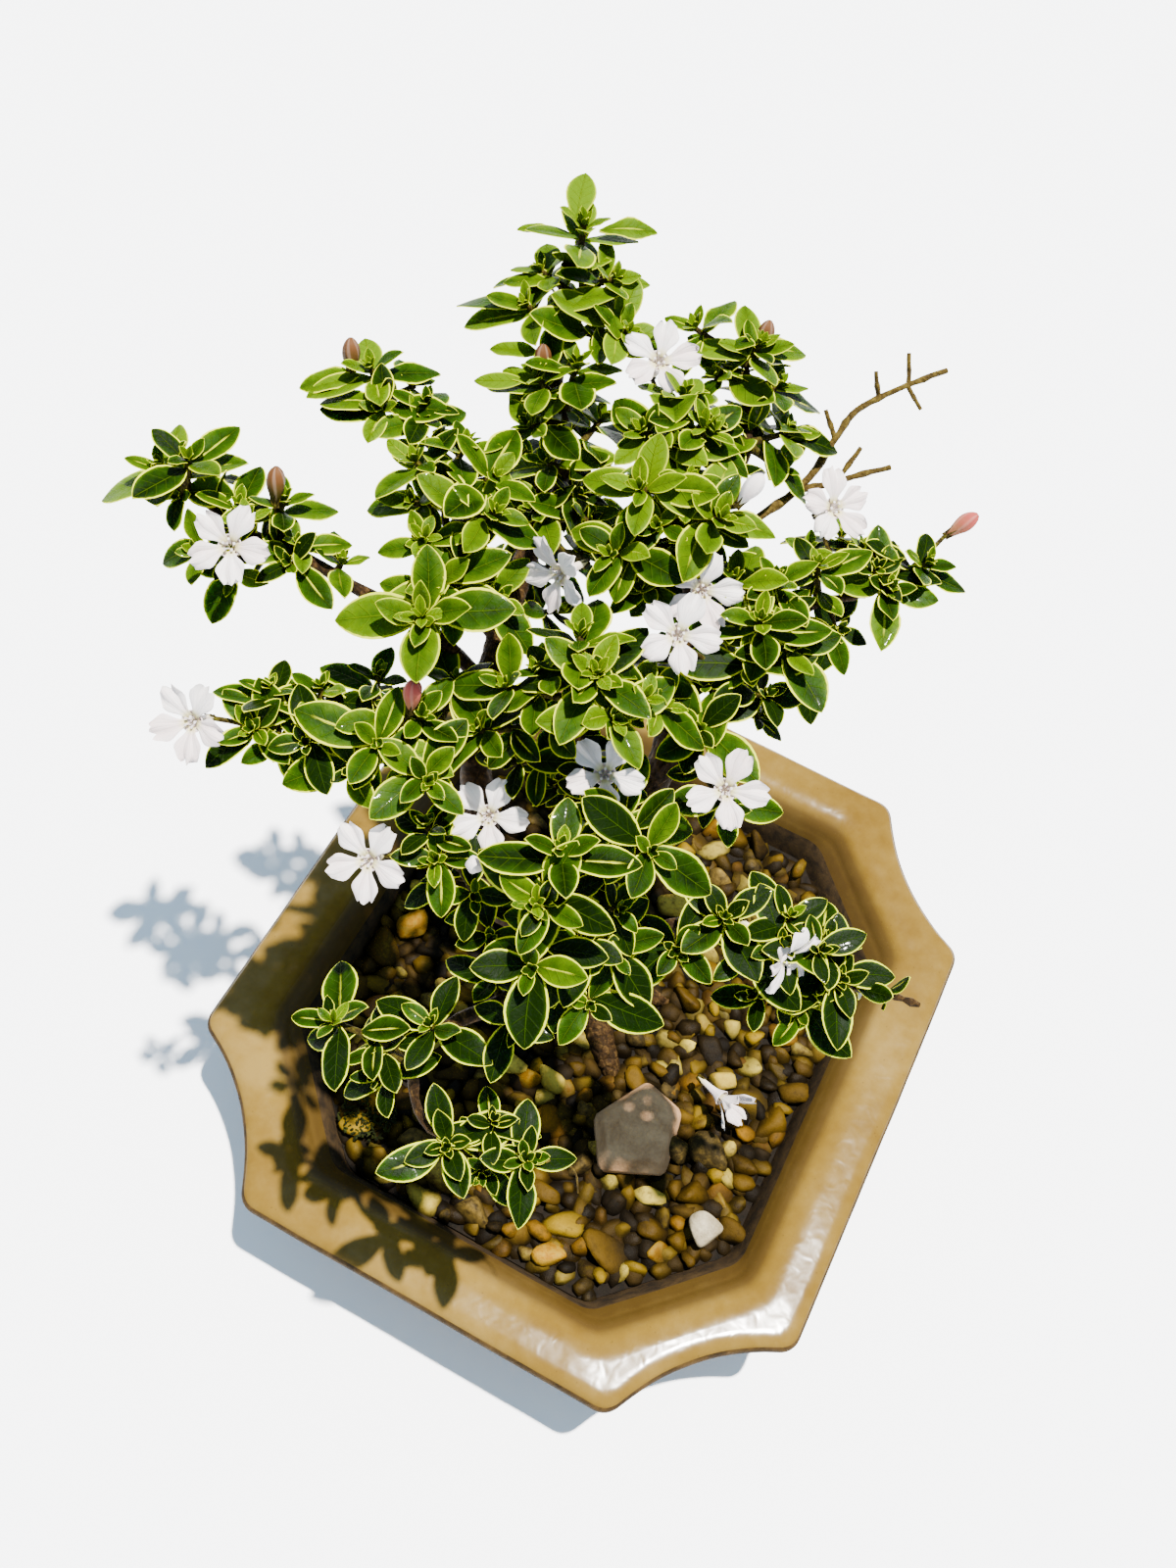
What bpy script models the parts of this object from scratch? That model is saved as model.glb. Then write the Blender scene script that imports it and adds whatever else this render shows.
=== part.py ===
"""Serissa bonsai in a glazed tray pot with notched corners.

Lengths are in metres with +Z up. The routes and places below are written in
millimetres from the middle of the pot's base, with X along its short side.
The finished plant stands with the middle of its floor area at the origin.
"""

import math
import random

import bmesh
import bpy
from mathutils import Matrix, Vector
from mathutils.bvhtree import BVHTree

MM = 0.001
GAP = 0.3 * MM
SEED = 12

# Pot, in millimetres
POT_HALF = (60.0, 65.5)
POT_HEIGHT = 28.0
NOTCH = 24.0
NOTCH_HOLLOW = 3.5
CORNER_ROUND = 2.6
LIP_DROP = 4.4
OPENING_HALF = (48.3, 54.2)
OPENING_CHAMFER = 20.0
FOOT_HEIGHT = 4.0
FLOOR_TOP = 8.0
CAVITY_HALF_AT_FLOOR = (42.0, 47.5)
DRAIN_RADIUS = 5.5
DRAIN_PLACES = (-20.0, 20.0)
FOOT_SIZE = (19.0, 7.0)
FOOT_PLACE = (33.5, 38.5)

# Filling, in millimetres
SCREEN_SIDE = 17.0
SCREEN_THICK = 1.0
SOIL_TOP = 15.5
GRAVEL_TOP = 19.6
GRAVEL_HOLLOW = 2.2
STONE_PITCH = 9.9
STONE_ROW_SHARE = 0.92
STONE_STRAY = 1.2
STONE_HALF_SIZE = (3.7, 5.0)
STONE_LOWEST = 0.7
STONE_LEAN = 0.05
STONE_CAP_SHARE = 0.6
STONE_SUNK = 0.4
LOOSE_PLACES = {"flat_stone": (19, -19), "white_pebble": (37, -29), "amber_pebble": (-34, -22),
                "moss_tuft": (-26, -40)}

# Plant, in millimetres
LEAF_WIDTH_RATIO = 0.46
LEAF_THICK = 0.55
LEAF_DROOP = 0.16
LEAF_KEEL = 0.10
PETAL_LENGTH = 5.7
PETAL_TURN = 21
PETAL_NOTCH = 1.9
PETAL_LIFT = 1.1
FLOWER_TUBE = 5.0
STALK_GAP = 0.7
BUD_HALF_LENGTH = 2.6
BUD_RADIUS = 1.45
SHOOT_RADIUS = (0.62, 0.45)

FALLEN_FLOWER = (30.0, -7.0, 23.0)
FALLEN_FLOWER_RESTS = (26.8, -8.0)

UP = Vector((0.0, 0.0, 1.0))

# Each stretch of wood: (x, y, z, radius)
TRUNK_ROUTES = {
    "butt": [(-1, 3, 10.5, 7.0), (-2, 2, 17, 6.2), (-3, 1, 23, 5.0), (-4, -3, 36, 4.3),
             (-7, -9, 52, 3.8), (-9, -12, 66, 3.4), (-10, -13, 78, 2.9)],
    "left_leader": [(-10, -12, 72, 2.8), (-14, -17, 88, 2.6), (-20, -12, 98, 2.4), (-25, -5, 107, 2.1),
                    (-28, 6, 115, 1.8), (-30, 18, 122, 1.6), (-33, 28, 128, 1.4), (-37, 37, 133, 1.2),
                    (-39, 44, 138, 0.9)],
    "right_leader": [(-8, -10, 60, 2.9), (-4, -4, 84, 2.5), (-1, 6, 102, 2.2), (-4, 16, 116, 1.8),
                     (-8, 26, 127, 1.4), (-12, 34, 133, 1.0)],
    "root_front": [(-2, 2, 20, 3.4), (6, -7, 19, 2.4), (12, -11, 16, 1.3)],
    "root_left": [(-2, 2, 20, 3.4), (-11, -4, 19, 2.2), (-17, -5, 16, 1.2)],
    "root_back": [(-2, 2, 20, 3.2), (-7, 11, 19, 2.2), (-8, 17, 16, 1.2)],
    "root_right": [(-2, 2, 20, 3.2), (8, 6, 19, 2.0), (14, 9, 16, 1.1)],
}

# Bare dead twigs at the back, with their short spurs
BARE_TWIG_ROUTES = [
    [(-8, 28, 126, 1.0), (-5, 38, 122, 0.9), (-1, 48, 123, 0.85), (0, 56, 125.5, 0.75),
     (1, 61, 127.5, 0.7), (5, 67, 129, 0.6), (10, 73, 130, 0.6)],
    [(-2, 46, 122.5, 0.8), (3, 51, 123, 0.65), (9, 57, 124, 0.55)],
    [(3, 51, 123, 0.6), (4, 56, 126, 0.5)],
    [(0, 56, 125.5, 0.6), (-3, 58, 128, 0.45)],
    [(3, 64, 128, 0.55), (1, 66, 131, 0.45)],
    [(6, 68, 129, 0.5), (9, 67, 127, 0.4)],
    [(6, 68, 129, 0.5), (4, 71, 132, 0.45)],
]

# Each leafy twig: its stem as (x, y, z, radius) and its rosettes of leaves as
# (x, y, z, leaf length, pairs of leaves, compass turn of the lowest pair)
TWIGS = {
    "left_high": (
        [(-27, 1, 111.5, 1.3), (-36, 1, 118, 1.2), (-47, -1, 123, 1.1), (-55, -2, 126, 1.0),
         (-63, -3, 127, 0.9), (-72, -2, 128, 0.7)],
        [(-75, -2, 130, 9.5, 3, 210), (-71, -1, 133, 8.5, 2, 80), (-72, -3, 127, 7.5, 2, 200),
         (-63, -2, 130, 7.5, 2, 110), (-58, 1, 131, 7.5, 3, 45), (-66, -8, 125, 7.5, 2, 215),
         (-61, -8, 123, 7.5, 2, 280), (-54, -2, 128, 6.5, 2, 225), (-49, 0, 125, 6.5, 1, 125)]),
    "up_left": (
        [(-30, 17, 121, 1.1), (-38, 19, 127, 1.0), (-46, 20, 130, 0.9), (-52, 21, 132, 0.8),
         (-57, 23, 134, 0.7)],
        [(-58, 23, 136, 8.5, 3, 220), (-54, 19, 134, 8.0, 2, 200), (-53, 26, 133, 5.5, 1, 140),
         (-49, 21, 133, 6.5, 1, 65)]),
    "mid_left": (
        [(-28, 6, 115, 1.2), (-31, 5, 121, 1.1), (-34, 6, 126, 1.0), (-38, 9, 130, 0.9),
         (-41, 13, 132, 0.7)],
        [(-45, 13, 135, 9.0, 3, 160), (-43, 9, 132, 8.5, 3, 210), (-41, 19, 135, 7.0, 3, 130),
         (-35, 16, 135, 9.5, 2, 90), (-32, 11, 135, 8.5, 4, 190), (-38, 3, 133, 6.5, 2, 225),
         (-34, 0, 131, 8.5, 3, 55), (-33, -6, 131, 10.5, 4, 205), (-28, 5, 126, 8.5, 3, 350)]),
    "left_low": (
        [(-24, -7, 105, 1.3), (-28, -10, 110, 1.2), (-33, -13, 113, 1.1), (-40, -16, 114, 1.0),
         (-46, -19, 113, 0.9), (-49, -21, 113, 0.7)],
        [(-49, -23, 115, 8.0, 4, 250), (-46, -22, 112, 7.5, 2, 320), (-50, -17, 116, 7.5, 3, 190),
         (-44, -14, 117, 7.5, 3, 180), (-39, -19, 113, 7.5, 2, 190), (-35, -21, 114, 8.5, 2, 240),
         (-32, -19, 120, 10.0, 2, 180), (-29, -13, 121, 7.5, 3, 85), (-24, -20, 119, 8.5, 4, 80),
         (-38, -9, 118, 7.5, 3, 190), (-29, -4, 117, 9.5, 1, 135)]),
    "front_left": (
        [(-15, -16, 90, 1.1), (-15, -20, 97, 1.0), (-17, -22, 103, 0.9), (-20, -23, 107, 0.7)],
        [(-23, -22, 111, 6.0, 3, 170), (-20, -25, 109, 7.5, 3, 295), (-14, -25, 104, 7.0, 2, 300),
         (-10, -27, 98, 6.5, 2, 310)]),
    "centre_low": (
        [(-5, -7, 80, 1.3), (-3, -12, 92, 1.2), (-2, -17, 101, 1.0), (-3, -20, 108, 0.9),
         (-4, -20, 113, 0.7)],
        [(-5, -19, 117, 9.5, 3, 205), (-4, -26, 113, 9.5, 4, 180), (-2, -31, 106, 10.5, 2, 290),
         (2, -24, 104, 8.5, 2, 280), (4, -18, 106, 7.5, 3, 340), (6, -22, 101, 9.5, 2, 330),
         (6, -28, 96, 9.5, 2, 0), (1, -29, 97, 6.5, 2, 295)]),
    "centre": (
        [(-2, 2, 96, 1.3), (-6, -1, 104, 1.2), (-10, -3, 112, 1.1), (-11, -2, 120, 0.9),
         (-11, -1, 127, 0.7)],
        [(-10, -2, 131, 9.5, 4, 85), (-15, 3, 130, 9.0, 3, 115), (-18, -2, 126, 7.0, 3, 225),
         (-6, -4, 127, 9.5, 3, 230), (-2, 2, 125, 8.5, 2, 10), (-21, -5, 124, 9.5, 2, 200),
         (-22, -10, 119, 9.5, 2, 55), (-18, -8, 111, 7.5, 3, 200), (-12, -6, 107, 6.5, 3, 150),
         (0, -9, 112, 9.0, 2, 25), (5, -13, 116, 9.5, 2, 355), (-1, -13, 105, 6.0, 3, 85)]),
    "low_left": (
        [(-9, -12, 74, 1.8), (-7, -22, 86, 1.6), (-5, -31, 91, 1.4), (-9, -37, 91, 1.3),
         (-12, -41, 89, 1.2), (-12, -45, 84, 1.1), (-8, -49, 79, 0.9), (-2, -49, 77.5, 0.8),
         (5, -48, 77.5, 0.6)],
        [(-12, -40, 92, 9.0, 3, 180), (-25, -45, 88, 9.0, 2, 120), (-18, -45, 86, 6.5, 2, 140),
         (-16, -48, 84, 7.5, 3, 215), (-2, -35, 93, 8.0, 2, 280), (-8, -30, 93, 7.5, 2, 180),
         (-3, -51, 81, 9.5, 5, 225), (1, -45, 82, 7.0, 3, 35), (8, -47, 81, 8.5, 3, 295),
         (3, -51, 77, 6.5, 3, 330)]),
    "low_right": (
        [(-8, -11, 70, 1.9), (0, -14, 84, 1.7), (7, -14, 92, 1.5), (12, -11, 96, 1.3),
         (20, -8, 98, 1.2), (28, -7, 97, 1.1), (36, -7, 94.5, 1.0), (42, -5, 93.5, 0.9),
         (47, -4, 93, 1.0)],
        [(13, -16, 98, 8.5, 3, 260), (17, -10, 102, 8.5, 4, 150), (22, -12, 98, 9.5, 1, 330),
         (25, -5, 101, 9.0, 3, 140), (26, -14, 92, 7.5, 2, 200), (35, -8, 97, 9.0, 4, 300),
         (31, -4, 98, 7.5, 2, 100), (32, -13, 92, 8.5, 2, 340)]),
    "right": (
        [(-2, 4, 99, 1.5), (2, 7, 108, 1.4), (4, 11, 115, 1.3), (5, 17, 119, 1.2), (6, 25, 121, 1.1),
         (9, 31, 121, 1.0), (14, 36, 121, 0.9), (18, 41, 122, 0.7)],
        [(4, 18, 129, 9.0, 4, 200), (9, 19, 125, 10.0, 3, 325), (5, 15, 123, 8.5, 1, 210),
         (1, 11, 120, 7.5, 2, 305), (3, 5, 119, 9.5, 2, 330), (11, 1, 110, 8.0, 2, 205),
         (7, 32, 127, 7.5, 3, 45), (3, 26, 128, 7.5, 3, 150), (-2, 23, 128, 8.0, 3, 280),
         (17, 36, 124, 8.5, 4, 115), (20, 43, 124, 7.5, 3, 20), (11, 43, 121, 7.0, 2, 170),
         (7, 47, 117, 8.0, 2, 25)]),
    "upper_right": (
        [(-5.8, 20.4, 121, 1.2), (-9, 23, 128, 1.2), (-12, 26, 132, 1.1), (-15, 30, 135, 0.9),
         (-18, 35, 136, 0.7)],
        [(-6, 24, 137, 9.5, 5, 280), (-13, 35, 139, 8.0, 3, 170), (-17, 22, 138, 8.5, 4, 200),
         (-13, 20, 135, 5.5, 3, 70), (-17, 15, 132, 8.5, 4, 180), (-12, 27, 137, 8.0, 3, 25),
         (-12, 16, 127, 8.0, 3, 330), (-10, 20, 130, 6.5, 2, 70), (-21, 31, 138, 8.5, 4, 160),
         (-19, 40, 138, 8.5, 4, 85), (-16, 31, 138, 7.5, 3, 205)]),
    "back_right": (
        [(-10, 30, 129, 1.3), (-9, 38, 128, 1.2), (-10, 45, 129, 1.0), (-13, 50, 132, 0.9),
         (-15, 53, 135, 0.7)],
        [(-14, 54, 138, 8.5, 5, 40), (-23, 52, 138, 7.5, 2, 85), (-10, 54, 132, 8.5, 3, 30),
         (-18, 49, 134, 7.5, 3, 160), (-6, 51, 128, 9.0, 3, 35), (-12, 51, 127, 8.5, 3, 180),
         (-5, 46, 126, 8.0, 2, 0)]),
    "top": (
        [(-29, 15, 121, 1.3), (-29, 22, 126, 1.2), (-30, 28, 130, 1.1), (-33, 32, 134.4, 0.8)],
        [(-38, 33, 137, 8.5, 4, 190), (-34, 37, 138, 8.0, 3, 310), (-36, 28, 133, 8.5, 3, 150),
         (-29, 36, 131, 9.0, 3, 45), (-32, 26, 130, 8.5, 2, 25), (-31, 20, 127, 7.5, 3, 320),
         (-24, 24, 125, 8.5, 3, 45)]),
    "apex": (
        [(-38, 41, 136, 1.1), (-38, 46, 140, 0.9), (-41, 50, 143, 0.7)],
        [(-42, 53, 146, 8.5, 4, 115), (-35, 49, 143, 8.5, 4, 130), (-45, 47, 141, 8.5, 3, 200),
         (-44, 41, 140, 10.0, 3, 205), (-30, 44, 140, 8.5, 4, 195), (-34, 43, 138, 8.5, 2, 25)]),
    "back_low": (
        [(-1, 9, 104, 1.2), (-2, 18, 106, 1.1), (-5, 26, 109, 0.9), (-10, 33, 113, 0.7)],
        [(-12, 36, 116, 8.5, 4, 60), (-3, 31, 113, 8.5, 4, 20), (-14, 28, 112, 8.0, 3, 130),
         (4, 24, 109, 8.0, 3, 330), (-5, 38, 110, 8.0, 3, 90), (-9, 22, 106, 7.5, 3, 200)]),
    "back_left": (
        [(-27, 4, 113, 1.2), (-28, 13, 113, 1.1), (-31, 22, 115, 0.9), (-36, 29, 119, 0.7)],
        [(-38, 31, 122, 8.5, 4, 120), (-30, 31, 120, 8.5, 3, 60), (-39, 23, 118, 8.0, 4, 190),
         (-25, 26, 115, 8.0, 3, 40), (-36, 16, 115, 8.0, 3, 230), (-24, 16, 113, 7.5, 3, 330)]),
}

# Each bloom: its kind, the middle of its face or bud, the way it faces as a
# compass turn and a rise in degrees, and the leafy twig that carries it
BLOOMS = {
    "flower_left_high": ("open", (-59.8, -8.5, 131), (290, 62), "left_high"),
    "flower_left_low": ("open", (-55, -27, 118), (270, 50), "left_low"),
    "flower_front": ("open", (-27, -30, 111), (270, 55), "front_left"),
    "flower_right": ("open", (10, -2, 120), (290, 62), "right"),
    "flower_middle": ("open", (-4, 9, 131), (290, 62), "right"),
    "flower_behind_middle": ("open", (-4.6, 18.2, 129.4), (300, 50), "upper_right"),
    "flower_inner": ("open", (-5.2, -6, 116.5), (290, 60), "centre"),
    "flower_inner_left": ("open", (-17.5, -15, 107.5), (280, 60), "front_left"),
    "flower_drooping": ("open", (-22, 11, 129), (250, 15), "top"),
    "flower_top": ("open", (-24.3, 42.5, 139.2), (310, 70), "upper_right"),
    "flower_back_right": ("open", (5, 42.6, 127), (330, 60), "right"),
    "flower_trumpet": ("open", (27, -11, 102), (340, 15), "low_right"),
    "bud_opening": ("bud", (-4, 27, 141), (60, 55), "upper_right"),
    "bud_pink_right": ("bud", (22, 51, 125.5), (50, 35), "right"),
    "bud_pink_left": ("bud", (-30.3, -12.9, 125), (100, 70), "left_low"),
    "bud_pale": ("bud", (-15, -23, 109.5), (280, 60), "front_left"),
    "bud_brown_left": ("bud", (-58.8, 1, 133.7), (110, 60), "left_high"),
    "bud_brown_up_left": ("bud", (-61, 23, 136.5), (120, 60), "up_left"),
    "bud_brown_top": ("bud", (-38.6, 35.6, 137), (110, 65), "top"),
    "bud_brown_back": ("bud", (-14.4, 56.6, 137), (90, 60), "back_right"),
}


def clear_scene():
    for obj in list(bpy.data.objects):
        bpy.data.objects.remove(obj)


def new_collection(name):
    made = bpy.data.collections.new(name)
    bpy.context.scene.collection.children.link(made)
    return made


def material(name, colour, roughness, metallic=0.0):
    made = bpy.data.materials.new(name)
    made.use_nodes = True
    shader = made.node_tree.nodes["Principled BSDF"]
    shader.inputs["Base Color"].default_value = (*colour, 1.0)
    shader.inputs["Roughness"].default_value = roughness
    shader.inputs["Metallic"].default_value = metallic
    return made


class Workshop:
    """Holds the collections, the stand and the finishes that every piece uses."""

    def __init__(self):
        self.parts = new_collection("serissa_bonsai")
        self.cutters = new_collection("cutters")
        self.stand = bpy.data.objects.new("pot_middle", None)
        self.parts.objects.link(self.stand)
        self.finishes = {
            "glaze": material("ochre_glaze", (0.48, 0.31, 0.10), 0.22),
            "mesh": material("screen_plastic", (0.05, 0.06, 0.05), 0.6),
            "soil": material("soil", (0.06, 0.04, 0.025), 0.95),
            "gravel": material("gravel", (0.36, 0.25, 0.12), 0.8),
            "stone": material("stone", (0.34, 0.27, 0.23), 0.75),
            "pebble": material("white_pebble", (0.75, 0.70, 0.62), 0.6),
            "moss": material("moss", (0.16, 0.22, 0.03), 0.95),
            "bark": material("bark", (0.09, 0.06, 0.035), 0.85),
            "dead_wood": material("dead_wood", (0.20, 0.14, 0.05), 0.8),
            "leaf": material("variegated_leaf", (0.13, 0.24, 0.02), 0.3),
            "petal": material("white_petal", (0.86, 0.82, 0.80), 0.5),
            "pink_bud": material("pink_bud", (0.62, 0.30, 0.28), 0.5),
            "brown_bud": material("brown_bud", (0.25, 0.12, 0.05), 0.6),
        }

    def add(self, name, mesh, finish):
        obj = bpy.data.objects.new(name, mesh)
        mesh.materials.clear()
        mesh.materials.append(self.finishes[finish])
        self.parts.objects.link(obj)
        obj.parent = self.stand
        return obj

    def add_cutter(self, name, mesh):
        obj = bpy.data.objects.new(name, mesh)
        self.cutters.objects.link(obj)
        obj.parent = self.stand
        obj.hide_render = True
        obj.display_type = "WIRE"
        return obj


def boolean(target, other, operation, use_self=False):
    modifier = target.modifiers.new(f"{operation.lower()}_{other.name}", "BOOLEAN")
    modifier.operation = operation
    modifier.object = other
    modifier.use_self = use_self


def mesh_from(bm, name):
    bmesh.ops.recalc_face_normals(bm, faces=bm.faces)
    mesh = bpy.data.meshes.new(name)
    bm.to_mesh(mesh)
    bm.free()
    return mesh


def placed(origin, axis):
    """A matrix at origin whose Z runs along axis."""
    return Matrix.Translation(origin) @ axis.to_track_quat("Z", "Y").to_matrix().to_4x4()


def compass(turn, rise):
    """The unit vector that points turn degrees round from +X and rise degrees up."""
    flat = math.cos(math.radians(rise))
    turn = math.radians(turn)
    return Vector((flat * math.cos(turn), flat * math.sin(turn), math.sin(math.radians(rise))))


# ---------------------------------------------------------------- the pot


def rounded_corner(before, corner, after, radius):
    """Three points of a small arc that takes off a corner."""
    start = corner + (before - corner).normalized() * radius
    end = corner + (after - corner).normalized() * radius
    middle = (start + end) / 4 + corner / 2
    return [start, middle, end]


def notched_ring(half, notch, hollow, radius, height):
    """A rectangle whose corners are cut off by sides that bow inwards by hollow."""
    x, y = half
    corners = [Vector(c) for c in (
        (x, y - notch), (x - notch, y), (notch - x, y), (-x, y - notch),
        (-x, notch - y), (notch - x, -y), (x - notch, -y), (x, notch - y))]
    ring = []
    for i, corner in enumerate(corners):
        before = corners[i - 1]
        after = corners[(i + 1) % len(corners)]
        ring += rounded_corner(before, corner, after, radius)
        if i % 2 == 0:
            middle = (corner + after) / 2
            inward = -middle.normalized()
            for t in (0.3, 0.5, 0.7):
                bow = hollow * (1 - (2 * t - 1) ** 2)
                ring.append(corner.lerp(after, t) + inward * bow)
    return [Vector((p.x, p.y, height)) * MM for p in ring]


def loft(bm, rings):
    """Joins rings of equal count by four-sided faces and closes both ends."""
    loops = [[bm.verts.new(p) for p in ring] for ring in rings]
    count = len(loops[0])
    for lower, upper in zip(loops, loops[1:]):
        for i in range(count):
            j = (i + 1) % count
            bm.faces.new((lower[i], lower[j], upper[j], upper[i]))
    bm.faces.new(loops[0])
    bm.faces.new(loops[-1])


def pot_outer_rings():
    x, y = POT_HALF
    lip = POT_HEIGHT - LIP_DROP
    sides = [(13.5, FOOT_HEIGHT, 18.0), (12.6, FOOT_HEIGHT + 0.8, 18.4), (7.2, lip - 0.9, 22.0),
             (5.4, lip - 0.2, 22.6), (1.0, lip, 24.0), (0.0, lip + 1.0, NOTCH),
             (0.0, POT_HEIGHT - 1.4, NOTCH), (0.5, POT_HEIGHT - 0.5, NOTCH), (1.7, POT_HEIGHT, NOTCH)]
    return [notched_ring((x - inset, y - inset), notch, NOTCH_HOLLOW, CORNER_ROUND, z)
            for inset, z, notch in sides]


def cavity_ring(z, clearance=0.0):
    """The octagon of the inner wall at a height, drawn in by a clearance."""
    share = (z - FLOOR_TOP) / (POT_HEIGHT - 1.5 - FLOOR_TOP)
    half = [low + (top - 1.5 - low) * share - clearance
            for low, top in zip(CAVITY_HALF_AT_FLOOR, OPENING_HALF)]
    return notched_ring(half, OPENING_CHAMFER - clearance, 0.0, CORNER_ROUND, z)


def pot_inner_rings():
    x, y = OPENING_HALF
    mouth = [notched_ring((x, y), OPENING_CHAMFER, 0.0, CORNER_ROUND, POT_HEIGHT),
             notched_ring((x - 1.0, y - 1.0), OPENING_CHAMFER, 0.0, CORNER_ROUND, POT_HEIGHT - 0.4)]
    return mouth + [cavity_ring(POT_HEIGHT - 1.5), cavity_ring(FLOOR_TOP)]


def foot_mesh():
    bm = bmesh.new()
    bmesh.ops.create_cube(bm, size=1.0)
    length, width = FOOT_SIZE
    height = FOOT_HEIGHT + 1.0
    bmesh.ops.scale(bm, verts=bm.verts, vec=Vector((length, width, height)) * MM)
    upright = [e for e in bm.edges if abs(e.verts[0].co.z - e.verts[1].co.z) > MM]
    bmesh.ops.bevel(bm, geom=upright, offset=2.0 * MM, segments=2, affect="EDGES", profile=0.5)
    return mesh_from(bm, "foot")


def cylinder_mesh(name, radius, low, high, places, segments=16):
    bm = bmesh.new()
    for x, y in places:
        bmesh.ops.create_cone(
            bm, cap_ends=True, segments=segments, radius1=radius * MM, radius2=radius * MM,
            depth=(high - low) * MM, matrix=Matrix.Translation(Vector((x, y, (low + high) / 2)) * MM))
    return mesh_from(bm, name)


def build_pot(shop):
    """The glazed tray with its four corner feet and two drainage holes."""
    bm = bmesh.new()
    loft(bm, pot_outer_rings() + pot_inner_rings())
    pot = shop.add("pot", mesh_from(bm, "pot"), "glaze")
    x, y = FOOT_PLACE
    for i, (sx, sy) in enumerate(((1, 1), (-1, 1), (-1, -1), (1, -1))):
        foot = shop.add_cutter(f"foot_{i}", foot_mesh())
        foot.location = Vector((sx * x, sy * y, (FOOT_HEIGHT + 1.0) / 2)) * MM
        foot.rotation_euler.z = math.radians(-45 * sx * sy)
        boolean(pot, foot, "UNION")
    drains = [(0.0, place) for place in DRAIN_PLACES]
    drill = cylinder_mesh("drain_drill", DRAIN_RADIUS, FOOT_HEIGHT - 2, FLOOR_TOP + 2, drains)
    boolean(pot, shop.add_cutter("drain_drill", drill), "DIFFERENCE")


def box_mesh(name, size, centre):
    bm = bmesh.new()
    bmesh.ops.create_cube(bm, size=1.0)
    bmesh.ops.scale(bm, verts=bm.verts, vec=Vector(size) * MM)
    bmesh.ops.translate(bm, verts=bm.verts, vec=Vector(centre) * MM)
    return mesh_from(bm, name)


def build_screens(shop):
    """A square of drainage mesh over each hole in the pot's floor."""
    bottom = FLOOR_TOP + 0.3
    for label, place in zip(("front", "back"), DRAIN_PLACES):
        plate = box_mesh("screen", (SCREEN_SIDE, SCREEN_SIDE, SCREEN_THICK),
                         (0, place, bottom + SCREEN_THICK / 2))
        screen = shop.add(f"drain_screen_{label}", plate, "mesh")
        step = SCREEN_SIDE / 4
        holes = [(i * step, place + j * step) for i in (-1, 1) for j in (-1, 1)]
        punch = cylinder_mesh("screen_punch", step * 0.6, bottom - 1, bottom + 2, holes, 6)
        boolean(screen, shop.add_cutter(f"screen_punch_{label}", punch), "DIFFERENCE")


# ---------------------------------------------------------------- the filling


def build_soil(shop, clearance):
    bm = bmesh.new()
    loft(bm, [cavity_ring(FLOOR_TOP + 0.3, 0.3), cavity_ring(SOIL_TOP, 0.3)])
    soil = shop.add("soil", mesh_from(bm, "soil"), "soil")
    for label, place in zip(("front", "back"), DRAIN_PLACES):
        side = SCREEN_SIDE + 0.6
        pocket = box_mesh("pocket", (side, side, 4.0), (0, place, FLOOR_TOP + 1.6 - 2.0))
        boolean(soil, shop.add_cutter(f"screen_pocket_{label}", pocket), "DIFFERENCE")
    boolean(soil, clearance, "DIFFERENCE")


def bedded_stone(bm, place, room, rng, carries):
    """A six-sided stone whose lower half is sunk in the bed; one that carries something is full and level."""
    half = min(room, rng.uniform(*STONE_HALF_SIZE))
    turn = rng.uniform(0, math.tau)
    slim = 1.0 if carries else rng.uniform(0.75, 1.0)
    top = GRAVEL_HOLLOW * (1.0 if carries else rng.uniform(STONE_LOWEST, 1.0))
    steep = 0.0 if carries else STONE_LEAN
    lean = Vector((rng.uniform(-steep, steep), rng.uniform(-steep, steep)))
    rings = []
    for share, height in ((0.95, -STONE_SUNK), (1.0, 0.3 * top), (STONE_CAP_SHARE, top)):
        ring = []
        for side in range(6):
            angle = math.tau * side / 6
            out = Vector((half * share * math.cos(angle), half * share * slim * math.sin(angle)))
            out.rotate(Matrix.Rotation(turn, 2))
            level = GRAVEL_TOP - GRAVEL_HOLLOW + height + lean.dot(out) - lean.length * half
            ring.append(Vector((place[0] + out.x, place[1] + out.y, level)) * MM)
        rings.append(ring)
    loft(bm, rings)


def stone_places(rng):
    """Where the larger stones of the grit lie: one under each loose thing, and rows between."""
    places = [*LOOSE_PLACES.values(), FALLEN_FLOWER_RESTS]
    half_x, half_y = OPENING_HALF
    rows = range(round(-half_y / STONE_PITCH), round(half_y / STONE_PITCH) + 1)
    columns = range(round(-half_x / STONE_PITCH), round(half_x / STONE_PITCH) + 1)
    for row in rows:
        for column in columns:
            x = (column + 0.5 * (row % 2)) * STONE_PITCH + rng.uniform(-STONE_STRAY, STONE_STRAY)
            y = row * STONE_PITCH * STONE_ROW_SHARE + rng.uniform(-STONE_STRAY, STONE_STRAY)
            if all(math.dist((x, y), place) > 1.4 * STONE_HALF_SIZE[1] for place in places):
                places.append((x, y))
    return places


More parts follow.
